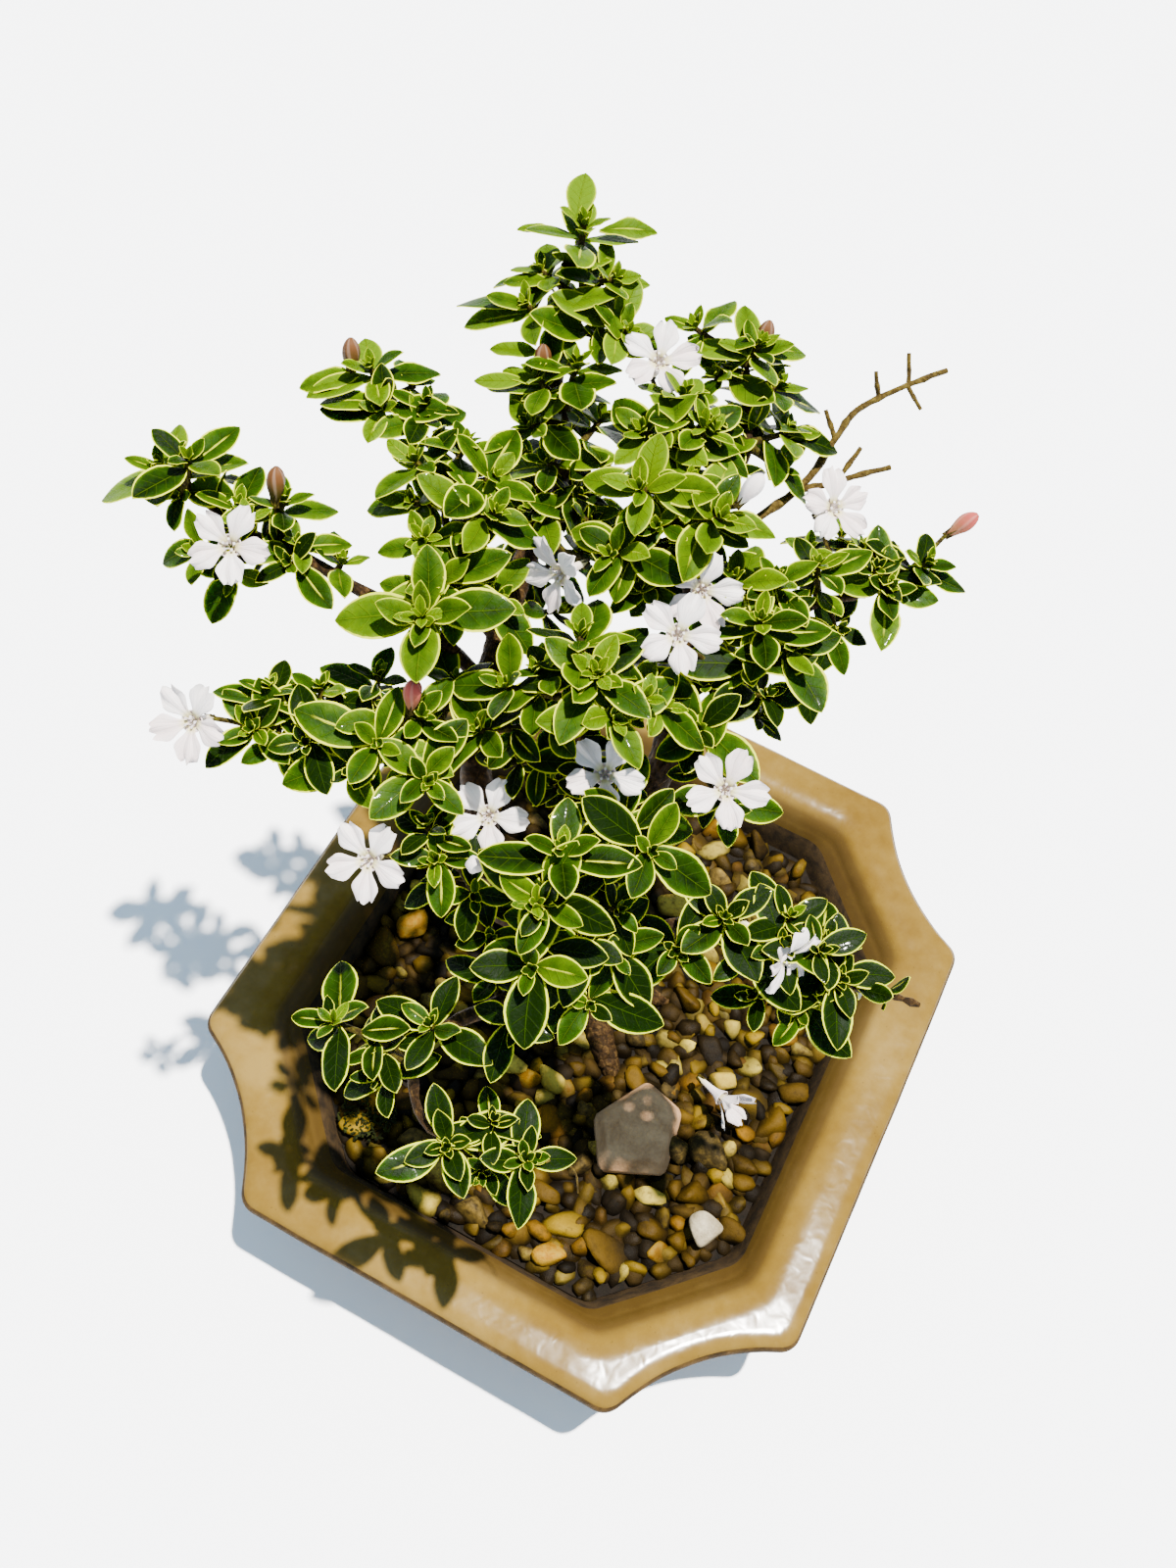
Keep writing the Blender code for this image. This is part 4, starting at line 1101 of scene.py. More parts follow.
    def drill(self, y: float) -> bpy.types.Object:
        """The round bar that cuts one drain hole."""
        bm = bmesh.new()
        radius = self.drain_radius * MM
        middle = metres(Vector((0.0, y, self.drain_depth / 2)))
        bmesh.ops.create_cone(bm, cap_ends=True, segments=self.drain_sides, radius1=radius,
                              radius2=radius, depth=self.drain_depth * MM,
                              matrix=Matrix.Translation(middle))
        return show("drill", bm)

    def wall(self, palette: Palette) -> bpy.types.Object:
        """The wall and the floor as one closed skin, glazed outside and over the rim."""
        rings = self.rings()
        glazed = len(self.lip) + len(self.top) + len(self.mouth)
        count = len(rings[0])
        faces = [tuple(reversed(range(count)))]
        finishes = [Finish.SHADED_CLAY]
        for i in range(len(rings) - 1):
            # Below the mouth the inside is unglazed, painted near black as shade
            finish = Finish.SHADED_CLAY if i >= glazed else Finish.GLAZE
            # The lip's outer face takes the dark edge finish, which is painted shade
            if i + 1 < len(self.lip) and self.edge_rise[0] < self.lip[i][1] < self.edge_rise[1]:
                finish = Finish.EDGE
            finishes += [finish] * count
            for j in range(count):
                k = (j + 1) % count
                low, high = i * count, (i + 1) * count
                faces.append((low + j, low + k, high + k, high + j))
        faces.append(tuple((len(rings) - 1) * count + j for j in range(count)))
        finishes.append(Finish.SHADED_CLAY)
        mesh = bpy.data.meshes.new("pot_wall")
        mesh.from_pydata([metres(p) for ring in rings for p in ring], [], faces)
        used = [Finish.GLAZE, Finish.SHADED_CLAY, Finish.EDGE]
        for finish in used:
            mesh.materials.append(palette[finish])
        mesh.polygons.foreach_set("material_index", [used.index(finish) for finish in finishes])
        return show("pot_wall", mesh)

    def build(self, palette: Palette) -> None:
        """Makes the pot and stands it in for the solid."""
        wall = self.wall(palette)
        feet = [self.foot(*corner) for corner in ((1, 1), (-1, 1), (-1, -1), (1, -1))]
        drills = [self.drill(y) for y in self.drains]
        steps = [("BOOLEAN", {"object": foot, "operation": "UNION"}) for foot in feet]
        steps += [("BOOLEAN", {"object": drill, "operation": "DIFFERENCE"}) for drill in drills]
        mesh = finished(wall, steps, *feet, *drills)
        mesh.set_sharp_from_angle(angle=math.radians(self.sharp))
        seat(show("glazed_pot", mesh), Finish.GLAZE, "pot")


# ------------------------------------------------------------------ the filling


@dataclass
class Filling:
    """What is in the pot: screens, soil, a bed of grit and what lies on it."""

    pot: Pot
    grit_top: float = 19.6
    bed_rise: Pair = (16.0, 17.2)
    bed_notch: float = 19.6
    trunk_foot: Pair = (-2.0, 2.0)
    trunk_room: float = 6.6
    pitch: float = 3.3
    rows: range = range(-17, 18)
    columns: range = range(-16, 17)
    scatter: float = 0.7
    lower_middle: float = 16.9
    lower_half: Pair = (1.5, 2.4)
    tries: int = 9000
    reach: Pair = (46.0, 52.0)
    radii: tuple[float, ...] = (1.5, 1.8, 2.2, 2.2, 2.7, 3.2)
    overlap: float = 0.84
    kept_clear: tuple[Point, ...] = (
        (19.0, -19.0, 7.0), (37.0, -29.0, 3.4), (-34.0, -22.0, 3.2), (30.0, -7.0, 2.0))
    tufts: int = 170
    tuft_radius: float = 0.34
    tuft_length: Pair = (1.4, 2.6)
    above_all: float = 60.0
    rng: random.Random = field(default_factory=lambda: random.Random(SEED))

    def __post_init__(self) -> None:
        """Takes a copy of the grit's solid to lay the stones on."""
        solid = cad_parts["gravel"].data
        self.bed = BVHTree.FromPolygons([v.co for v in solid.vertices],
                                        [tuple(p.vertices) for p in solid.polygons])

    def fits(self, x: float, y: float, reach: float) -> bool:
        """Whether a stone fits inside the wall and clear of the trunk.

        Args:
            x: Its place along X.
            y: Its place along Y.
            reach: How far it reaches.

        Returns:
            Whether it fits.
        """
        half_x, half_y = self.pot.cavity(self.grit_top - 1.0, reach)
        inside = abs(x) <= half_x and abs(y) <= half_y
        corner = half_x + half_y - self.pot.chamfer + reach * 0.6
        from_trunk = math.hypot(x - self.trunk_foot[0], y - self.trunk_foot[1])
        return inside and abs(x) + abs(y) <= corner and from_trunk > self.trunk_room + reach * 0.5

    def level(self, x: float, y: float) -> float:
        """The height of the grit's solid at a place."""
        place, _, _, _ = self.bed.ray_cast(metres(Vector((x, y, self.above_all))), -UP)
        return place.z / MM if place else self.grit_top - 2.2

    def stone(self, growth: Growth, ball: Ball, place: Vector, size: Vector, pick: float) -> None:
        """Adds one stone.

        Args:
            growth: The piece that it joins.
            ball: The ball that it is worn from.
            place: Its middle.
            size: Its three half lengths.
            pick: Its place in the grit's colours.
        """
        turn = Quaternion([self.rng.gauss(0, spread) for spread in (0.25, 0.25, 1, 1)])
        turn.normalize()
        worn = [place + turn @ Vector([c * s for c, s in zip(p, size)]) for p in ball.worn(self.rng)]
        growth.ball(worn, ball, Finish.GRIT, (pick, self.rng.random()))

    def build_bed(self, palette: Palette) -> None:
        """The dark bed under the stones."""
        growth = Growth()
        half = self.pot.cavity(17.0, 0.35)
        rings = [self.pot.outline(half, self.bed_notch, 0.0, z) for z in self.bed_rise]
        growth.loft(rings, Finish.SOIL)
        seat(growth.piece("grit_bed", palette), Finish.GRIT, "gravel")

    def build_lower(self, palette: Palette) -> None:
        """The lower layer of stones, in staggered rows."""
        ball, growth = Ball(2), Growth()
        for row in self.rows:
            for column in self.columns:
                off_x, off_y = (self.rng.uniform(-self.scatter, self.scatter) for _ in range(2))
                x = (column + 0.5 * (row % 2)) * self.pitch + off_x
                y = row * self.pitch * 0.9 + off_y
                size = Vector([self.rng.uniform(*self.lower_half) for _ in range(3)])
                if self.fits(x, y, 1.6):
                    place = Vector((x, y, self.lower_middle + self.rng.uniform(-0.4, 0.4)))
                    self.stone(growth, ball, place, size, self.rng.betavariate(1.1, 2.6))
        seat(growth.piece("grit_lower", palette, 180.0, False), Finish.GRIT)

    def build_upper(self, palette: Palette) -> None:
        """The larger stones on top, clear of the loose ones."""
        coarse, fine, growth = Ball(2), Ball(3), Growth()
        taken = list(self.kept_clear)
        for _ in range(self.tries):
            radius = self.rng.choice(self.radii)
            x, y = (self.rng.uniform(-reach, reach) for reach in self.reach)
            crowded = any(math.hypot(x - a, y - b) < self.overlap * (radius + c) for a, b, c in taken)
            if crowded or not self.fits(x, y, radius):
                continue
            taken.append((x, y, radius))
            length, width = self.rng.uniform(1.0, 1.35), self.rng.uniform(0.8, 1.0)
            size = Vector((radius * length, radius * width, radius * 0.75))
            height = self.level(x, y) - 0.15 * radius + self.rng.uniform(-0.2, 0.3)
            self.stone(growth, fine if radius > 2.0 else coarse, Vector((x, y, height)), size,
                       self.rng.random() ** 0.9)
        seat(growth.piece("grit_upper", palette, 180.0, False), Finish.GRIT)

    def build_loose(self, palette: Palette) -> None:
        """The single stones, each worn inside its solid's box."""
        for node, finish, facets, soften in (
                ("flat_stone", Finish.STONE, 0, 0.0), ("white_pebble", Finish.PEBBLE, 14, 6.0),
                ("amber_pebble", Finish.AMBER, 12, 6.0)):
            middle, half = room_of(node)
            ball, growth = Ball(4), Growth()
            worn = ball.worn(self.rng, facets, soften) if facets else ball.slab()
            reach = [max(abs(p[axis]) for p in worn) for axis in range(3)]
            places = [middle + Vector([c / r * h for c, r, h in zip(p, reach, half)]) for p in worn]
            growth.ball(places, ball, finish)
            seat(growth.piece(f"{node}_worn", palette, 180.0, False), finish, node)

    def build_moss(self, palette: Palette) -> None:
        """The clump of moss, tufted inside its solid's box."""
        middle, half = room_of("moss_tuft")
        growth = Growth()
        for _ in range(self.tufts):
            turn, reach = self.rng.uniform(0, FULL_TURN), math.sqrt(self.rng.random()) * 0.9
            start = middle + spoke(turn, reach, -1.0) * half
            lean = Vector((self.rng.gauss(0, 0.5), self.rng.gauss(0, 0.5), 1.0)).normalized()
            tall = (1.0 - reach ** 2 * 0.6) * self.rng.uniform(*self.tuft_length)
            route = [Vector((*(start + lean * tall * t), self.tuft_radius * (1.0 - t * 0.8)))
                     for t in (0.0, 0.5, 1.0)]
            growth.tube(route, 5, Finish.MOSS)
        seat(growth.piece("moss_clump", palette), Finish.MOSS, "moss_tuft")

    def build(self, palette: Palette) -> None:
        """Makes everything in the pot."""
        for node, finish in (("soil", Finish.SOIL), ("drain_screen_front", Finish.SCREEN),
                             ("drain_screen_back", Finish.SCREEN)):
            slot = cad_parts[node].material_slots[0]
            slot.link = "OBJECT"
            slot.material = palette[finish]
        for step in (self.build_bed, self.build_lower, self.build_upper, self.build_loose,
                     self.build_moss):
            step(palette)


# ------------------------------------------------------------------ the plant

# Each stretch of wood: (x, y, z, radius)
TRUNK_ROUTES: dict[str, list[Step]] = {
    "butt": [(-1, 3, 10.5, 7.0), (-2, 2, 17, 6.2), (-3, 1, 23, 5.0), (-4, -3, 36, 4.3),
             (-7, -9, 52, 3.8), (-9, -12, 66, 3.4), (-10, -13, 78, 2.9)],
    "left_leader": [(-10, -12, 72, 2.8), (-14, -17, 88, 2.6), (-20, -12, 98, 2.4), (-25, -5, 107, 2.1),
                    (-28, 6, 115, 1.8), (-30, 18, 122, 1.6), (-33, 28, 128, 1.4), (-37, 37, 133, 1.2),
                    (-39, 44, 138, 0.9)],
    "right_leader": [(-8, -10, 60, 2.9), (-4, -4, 84, 2.5), (-1, 6, 102, 2.2), (-4, 16, 116, 1.8),
                     (-8, 26, 127, 1.4), (-12, 34, 133, 1.0)],
    "root_front": [(-2, 2, 20, 3.4), (6, -7, 19, 2.4), (12, -11, 16, 1.3)],
    "root_left": [(-2, 2, 20, 3.4), (-11, -4, 19, 2.2), (-17, -5, 16, 1.2)],
    "root_back": [(-2, 2, 20, 3.2), (-7, 11, 19, 2.2), (-8, 17, 16, 1.2)],
    "root_right": [(-2, 2, 20, 3.2), (8, 6, 19, 2.0), (14, 9, 16, 1.1)],
}

# Bare dead twigs at the back, with their short spurs
BARE_TWIG_ROUTES: list[list[Step]] = [
    [(-8, 28, 126, 1.0), (-5, 38, 122, 0.9), (-1, 48, 123, 0.85), (0, 56, 125.5, 0.75),
     (1, 61, 127.5, 0.7), (5, 67, 129, 0.6), (10, 73, 130, 0.6)],
    [(-2, 46, 122.5, 0.8), (3, 51, 123, 0.65), (9, 57, 124, 0.55)],
    [(3, 51, 123, 0.6), (4, 56, 126, 0.5)],
    [(0, 56, 125.5, 0.6), (-3, 58, 128, 0.45)],
    [(3, 64, 128, 0.55), (1, 66, 131, 0.45)],
    [(6, 68, 129, 0.5), (9, 67, 127, 0.4)],
    [(6, 68, 129, 0.5), (4, 71, 132, 0.45)],
]

Rosette = tuple[float, float, float, float, int, float]

# Each leafy twig: its stem as (x, y, z, radius) and its rosettes of leaves as
# (x, y, z, leaf length, pairs of leaves, compass turn of the lowest pair)
TWIGS: dict[str, tuple[list[Step], list[Rosette]]] = {
    "left_high": (
        [(-27, 1, 111.5, 1.3), (-36, 1, 118, 1.2), (-47, -1, 123, 1.1), (-55, -2, 126, 1.0),
         (-63, -3, 127, 0.9), (-72, -2, 128, 0.7)],
        [(-75, -2, 130, 9.5, 3, 210), (-71, -1, 133, 8.5, 2, 80), (-72, -3, 127, 7.5, 2, 200),
         (-63, -2, 130, 7.5, 2, 110), (-58, 1, 131, 7.5, 3, 45), (-66, -8, 125, 7.5, 2, 215),
         (-61, -8, 123, 7.5, 2, 280), (-54, -2, 128, 6.5, 2, 225), (-49, 0, 125, 6.5, 1, 125)]),
    "up_left": (
        [(-30, 17, 121, 1.1), (-38, 19, 127, 1.0), (-46, 20, 130, 0.9), (-52, 21, 132, 0.8),
         (-57, 23, 134, 0.7)],
        [(-58, 23, 136, 8.5, 3, 220), (-54, 19, 134, 8.0, 2, 200), (-53, 26, 133, 5.5, 1, 140),
         (-49, 21, 133, 6.5, 1, 65)]),
    "mid_left": (
        [(-28, 6, 115, 1.2), (-31, 5, 121, 1.1), (-34, 6, 126, 1.0), (-38, 9, 130, 0.9),
         (-41, 13, 132, 0.7)],
        [(-45, 13, 135, 9.0, 3, 160), (-43, 9, 132, 8.5, 3, 210), (-41, 19, 135, 7.0, 3, 130),
         (-35, 16, 135, 9.5, 2, 90), (-32, 11, 135, 8.5, 4, 190), (-38, 3, 133, 6.5, 2, 225),
         (-34, 0, 131, 8.5, 3, 55), (-33, -6, 131, 10.5, 4, 205), (-28, 5, 126, 8.5, 3, 350)]),
    "left_low": (
        [(-24, -7, 105, 1.3), (-28, -10, 110, 1.2), (-33, -13, 113, 1.1), (-40, -16, 114, 1.0),
         (-46, -19, 113, 0.9), (-49, -21, 113, 0.7)],
        [(-49, -23, 115, 8.0, 4, 250), (-46, -22, 112, 7.5, 2, 320), (-50, -17, 116, 7.5, 3, 190),
         (-44, -14, 117, 7.5, 3, 180), (-39, -19, 113, 7.5, 2, 190), (-35, -21, 114, 8.5, 2, 240),
         (-32, -19, 120, 10.0, 2, 180), (-29, -13, 121, 7.5, 3, 85), (-24, -20, 119, 8.5, 4, 80),
         (-38, -9, 118, 7.5, 3, 190), (-29, -4, 117, 9.5, 1, 135)]),
    "front_left": (
        [(-15, -16, 90, 1.1), (-15, -20, 97, 1.0), (-17, -22, 103, 0.9), (-20, -23, 107, 0.7)],
        [(-23, -22, 111, 6.0, 3, 170), (-20, -25, 109, 7.5, 3, 295), (-14, -25, 104, 7.0, 2, 300),
         (-10, -27, 98, 6.5, 2, 310)]),
    "centre_low": (
        [(-5, -7, 80, 1.3), (-3, -12, 92, 1.2), (-2, -17, 101, 1.0), (-3, -20, 108, 0.9),
         (-4, -20, 113, 0.7)],
        [(-5, -19, 117, 9.5, 3, 205), (-4, -26, 113, 9.5, 4, 180), (-2, -31, 106, 10.5, 2, 290),
         (2, -24, 104, 8.5, 2, 280), (4, -18, 106, 7.5, 3, 340), (6, -22, 101, 9.5, 2, 330),
         (6, -28, 96, 9.5, 2, 0), (1, -29, 97, 6.5, 2, 295)]),
    "centre": (
        [(-2, 2, 96, 1.3), (-6, -1, 104, 1.2), (-10, -3, 112, 1.1), (-11, -2, 120, 0.9),
         (-11, -1, 127, 0.7)],
        [(-10, -2, 131, 9.5, 4, 85), (-15, 3, 130, 9.0, 3, 115), (-18, -2, 126, 7.0, 3, 225),
         (-6, -4, 127, 9.5, 3, 230), (-2, 2, 125, 8.5, 2, 10), (-21, -5, 124, 9.5, 2, 200),
         (-22, -10, 119, 9.5, 2, 55), (-18, -8, 111, 7.5, 3, 200), (-12, -6, 107, 6.5, 3, 150),
         (0, -9, 112, 9.0, 2, 25), (5, -13, 116, 9.5, 2, 355), (-1, -13, 105, 6.0, 3, 85)]),
    "low_left": (
        [(-9, -12, 74, 1.8), (-7, -22, 86, 1.6), (-5, -31, 91, 1.4), (-9, -37, 91, 1.3),
         (-12, -41, 89, 1.2), (-12, -45, 84, 1.1), (-8, -49, 79, 0.9), (-2, -49, 77.5, 0.8),
         (5, -48, 77.5, 0.6)],
        [(-12, -40, 92, 9.0, 3, 180), (-25, -45, 88, 9.0, 2, 120), (-18, -45, 86, 6.5, 2, 140),
         (-16, -48, 84, 7.5, 3, 215), (-2, -35, 93, 8.0, 2, 280), (-8, -30, 93, 7.5, 2, 180),
         (-3, -51, 81, 9.5, 5, 225), (1, -45, 82, 7.0, 3, 35), (8, -47, 81, 8.5, 3, 295),
         (3, -51, 77, 6.5, 3, 330)]),
    "low_right": (
        [(-8, -11, 70, 1.9), (0, -14, 84, 1.7), (7, -14, 92, 1.5), (12, -11, 96, 1.3),
         (20, -8, 98, 1.2), (28, -7, 97, 1.1), (36, -7, 94.5, 1.0), (42, -5, 93.5, 0.9),
         (47, -4, 93, 1.0)],
        [(13, -16, 98, 8.5, 3, 260), (17, -10, 102, 8.5, 4, 150), (22, -12, 98, 9.5, 1, 330),
         (25, -5, 101, 9.0, 3, 140), (26, -14, 92, 7.5, 2, 200), (35, -8, 97, 9.0, 4, 300),
         (31, -4, 98, 7.5, 2, 100), (32, -13, 92, 8.5, 2, 340)]),
    "right": (
        [(-2, 4, 99, 1.5), (2, 7, 108, 1.4), (4, 11, 115, 1.3), (5, 17, 119, 1.2), (6, 25, 121, 1.1),
         (9, 31, 121, 1.0), (14, 36, 121, 0.9), (18, 41, 122, 0.7)],
        [(4, 18, 129, 9.0, 4, 200), (9, 19, 125, 10.0, 3, 325), (5, 15, 123, 8.5, 1, 210),
         (1, 11, 120, 7.5, 2, 305), (3, 5, 119, 9.5, 2, 330), (11, 1, 110, 8.0, 2, 205),
         (7, 32, 127, 7.5, 3, 45), (3, 26, 128, 7.5, 3, 150), (-2, 23, 128, 8.0, 3, 280),
         (17, 36, 124, 8.5, 4, 115), (20, 43, 124, 7.5, 3, 20), (11, 43, 121, 7.0, 2, 170),
         (7, 47, 117, 8.0, 2, 25)]),
    "upper_right": (
        [(-5.8, 20.4, 121, 1.2), (-9, 23, 128, 1.2), (-12, 26, 132, 1.1), (-15, 30, 135, 0.9),
         (-18, 35, 136, 0.7)],
        [(-6, 24, 137, 9.5, 5, 280), (-13, 35, 139, 8.0, 3, 170), (-17, 22, 138, 8.5, 4, 200),
         (-13, 20, 135, 5.5, 3, 70), (-17, 15, 132, 8.5, 4, 180), (-12, 27, 137, 8.0, 3, 25),
         (-12, 16, 127, 8.0, 3, 330), (-10, 20, 130, 6.5, 2, 70), (-21, 31, 138, 8.5, 4, 160),
         (-19, 40, 138, 8.5, 4, 85), (-16, 31, 138, 7.5, 3, 205)]),
    "back_right": (
        [(-10, 30, 129, 1.3), (-9, 38, 128, 1.2), (-10, 45, 129, 1.0), (-13, 50, 132, 0.9),
         (-15, 53, 135, 0.7)],
        [(-14, 54, 138, 8.5, 5, 40), (-23, 52, 138, 7.5, 2, 85), (-10, 54, 132, 8.5, 3, 30),
         (-18, 49, 134, 7.5, 3, 160), (-6, 51, 128, 9.0, 3, 35), (-12, 51, 127, 8.5, 3, 180),
         (-5, 46, 126, 8.0, 2, 0)]),
    "top": (
        [(-29, 15, 121, 1.3), (-29, 22, 126, 1.2), (-30, 28, 130, 1.1), (-33, 32, 134.4, 0.8)],
        [(-38, 33, 137, 8.5, 4, 190), (-34, 37, 138, 8.0, 3, 310), (-36, 28, 133, 8.5, 3, 150),
         (-29, 36, 131, 9.0, 3, 45), (-32, 26, 130, 8.5, 2, 25), (-31, 20, 127, 7.5, 3, 320),
         (-24, 24, 125, 8.5, 3, 45)]),
    "apex": (
        [(-38, 41, 136, 1.1), (-38, 46, 140, 0.9), (-41, 50, 143, 0.7)],
        [(-42, 53, 146, 8.5, 4, 115), (-35, 49, 143, 8.5, 4, 130), (-45, 47, 141, 8.5, 3, 200),
         (-44, 41, 140, 10.0, 3, 205), (-30, 44, 140, 8.5, 4, 195), (-34, 43, 138, 8.5, 2, 25)]),
    "back_low": (
        [(-1, 9, 104, 1.2), (-2, 18, 106, 1.1), (-5, 26, 109, 0.9), (-10, 33, 113, 0.7)],
        [(-12, 36, 116, 8.5, 4, 60), (-3, 31, 113, 8.5, 4, 20), (-14, 28, 112, 8.0, 3, 130),
         (4, 24, 109, 8.0, 3, 330), (-5, 38, 110, 8.0, 3, 90), (-9, 22, 106, 7.5, 3, 200)]),
    "back_left": (
        [(-27, 4, 113, 1.2), (-28, 13, 113, 1.1), (-31, 22, 115, 0.9), (-36, 29, 119, 0.7)],
        [(-38, 31, 122, 8.5, 4, 120), (-30, 31, 120, 8.5, 3, 60), (-39, 23, 118, 8.0, 4, 190),
         (-25, 26, 115, 8.0, 3, 40), (-36, 16, 115, 8.0, 3, 230), (-24, 16, 113, 7.5, 3, 330)]),
}


class Bloom(Enum):
    """The kinds of bloom."""

    OPEN = "open flower"
    PALE_BUD = "pale bud"
    PINK_BUD = "pink bud"
    BROWN_BUD = "brown bud"

    @property
    def reach(self) -> float:
        """How far a bloom's foot is from its middle."""
        return 5.0 if self is Bloom.OPEN else 2.6


BUD_FINISHES = {Bloom.PALE_BUD: Finish.PETAL, Bloom.PINK_BUD: Finish.PINK_BUD,
                Bloom.BROWN_BUD: Finish.BROWN_BUD}

# Each bloom: its kind, the middle of its face or bud, the way it faces as a
# compass turn and a rise in degrees, and the leafy twig that carries it
BLOOMS: dict[str, tuple[Bloom, Point, Pair, str]] = {
    "flower_left_high": (Bloom.OPEN, (-59.8, -8.5, 131), (290, 62), "left_high"),
    "flower_left_low": (Bloom.OPEN, (-55, -27, 118), (270, 50), "left_low"),
    "flower_front": (Bloom.OPEN, (-27, -30, 111), (270, 55), "front_left"),
    "flower_right": (Bloom.OPEN, (10, -2, 120), (290, 62), "right"),
    "flower_middle": (Bloom.OPEN, (-4, 9, 131), (290, 62), "right"),
    "flower_behind_middle": (Bloom.OPEN, (-4.6, 18.2, 129.4), (300, 50), "upper_right"),
    "flower_inner": (Bloom.OPEN, (-5.2, -6, 116.5), (290, 60), "centre"),
    "flower_inner_left": (Bloom.OPEN, (-17.5, -15, 107.5), (280, 60), "front_left"),
    "flower_drooping": (Bloom.OPEN, (-22, 11, 129), (250, 15), "top"),
    "flower_top": (Bloom.OPEN, (-24.3, 42.5, 139.2), (310, 70), "upper_right"),
    "flower_back_right": (Bloom.OPEN, (5, 42.6, 127), (330, 60), "right"),
    "flower_trumpet": (Bloom.OPEN, (27, -11, 102), (340, 15), "low_right"),
    "bud_opening": (Bloom.PALE_BUD, (-4, 27, 141), (60, 55), "upper_right"),
    "bud_pink_right": (Bloom.PINK_BUD, (22, 51, 125.5), (50, 35), "right"),
    "bud_pink_left": (Bloom.PINK_BUD, (-30.3, -12.9, 125), (100, 70), "left_low"),
    "bud_pale": (Bloom.PALE_BUD, (-15, -23, 109.5), (280, 60), "front_left"),
    "bud_brown_left": (Bloom.BROWN_BUD, (-58.8, 1, 133.7), (110, 60), "left_high"),
    "bud_brown_up_left": (Bloom.BROWN_BUD, (-61, 23, 136.5), (120, 60), "up_left"),
    "bud_brown_top": (Bloom.BROWN_BUD, (-38.6, 35.6, 137), (110, 65), "top"),
    "bud_brown_back": (Bloom.BROWN_BUD, (-14.4, 56.6, 137), (90, 60), "back_right"),
}


@dataclass(frozen=True)
class LeafShape:
    """One leaf's outline and curves; lengths are shares of its own length."""

    half_width: float
    fold: float
    droop: float
    twist: float
    ripple: float
    sway: float
    crowding: float = 1.35
    fullest: float = 1.16
    blunt: float = 0.68
    narrowest: float = 0.035

    @classmethod
    def grown(cls, rng: random.Random) -> "LeafShape":
        """A leaf with its own small differences."""
        return cls(half_width=rng.uniform(0.225, 0.275), fold=rng.uniform(0.04, 0.30),
                   droop=rng.uniform(0.05, 0.24), twist=rng.gauss(0.0, 0.16),
                   ripple=rng.uniform(0.0, 0.03), sway=rng.gauss(0.0, 0.03))

    def at(self, across: float, along: float) -> Point:
        """A point of the middle surface.

        Args:
            across: From -1 to 1 over the blade.
            along: From 0 at the base to 1 at the tip.

        Returns:
            Its place along, across and above the leaf's base.
        """
        reach = 1.0 - (1.0 - along) ** self.crowding
        swell = max(0.0, math.sin(math.pi * min(1.0, reach ** self.fullest))) ** self.blunt
        side = across * self.half_width * max(self.narrowest, swell)
        lift = self.fold * abs(side) - self.droop * reach ** 2 + self.droop * 0.35 * reach
        lift += self.ripple * abs(across) ** 3 * math.sin(reach * 11.0 + across * 2.0)
        turn = self.twist * reach
        aside = side * math.cos(turn) + self.sway * math.sin(3.0 * reach)
        return (reach * (1.0 - 0.10 * self.droop), aside, lift + side * math.sin(turn))


# Leaves that stand out by themselves on a twig: their foot and tip
SINGLE_LEAVES: dict[str, list[tuple[Point, Point]]] = {
    "apex": [((-43, 52.5, 146.5), (-46, 61, 148)), ((-39.5, 52.5, 146.5), (-32.5, 56.5, 147)),
             ((-45, 50.5, 145), (-50, 48.5, 145)), ((-44.5, 42.5, 139), (-54, 38.5, 138.5)),
             ((-43, 45.5, 141.5), (-49, 43, 140.5))],
    "top": [((-39, 32, 136.5), (-45.5, 29, 136)), ((-39, 36, 138), (-46, 34, 138))],
    "up_left": [((-59, 22, 135), (-66, 17, 134)), ((-54.5, 19.5, 134.5), (-62, 16, 134))],
    "right": [((11.5, 30, 118.5), (17, 26, 115.5)), ((11.5, 22.5, 115.5), (16, 18, 112.5))],
    "left_low": [((-33, -15, 120), (-37.5, -20, 122))],
}

# Where a shoot has just started: small bright leaves standing up
SPROUTS: dict[str, list[Point]] = {
    "upper_right": [(-13.7, 34.9, 139.2)],
    "left_high": [(-60, -4, 131)],
    "centre": [(-3.9, -0.4, 128.3), (-10, -2, 131.5)],
    "centre_low": [(-4.7, -25.4, 113.1)],
    "mid_left": [(-38.1, 3.3, 133.7), (-33, -6, 131.5)],
    "low_left": [(-24.1, -45.7, 89.8), (7.5, -47.5, 81.5)],
    "right": [(4.5, 36.5, 123.5)],
}

# The thread of a dropped bloom, by the twig that it hangs from
DRIED_THREADS: dict[str, list[Step]] = {
    "low_left": [(10, -46, 80.5, 0.3), (12.2, -44.6, 79.8, 0.22), (14.5, -45.2, 79.4, 0.16),
                 (16, -47.1, 77.8, 0.1)],
}

# Flowers with a tube longer than the usual one
LONG_TUBES = {"flower_trumpet": 9.0}

# How much of a stem has nothing on it, where that isn't the usual share
USUAL_BARE_SHARE = 0.30
BARE_SHARE = {"left_high": 0.62, "low_right": 0.60, "low_left": 0.97, "up_left": 0.50, "left_low": 0.55,
              "front_left": 0.60}


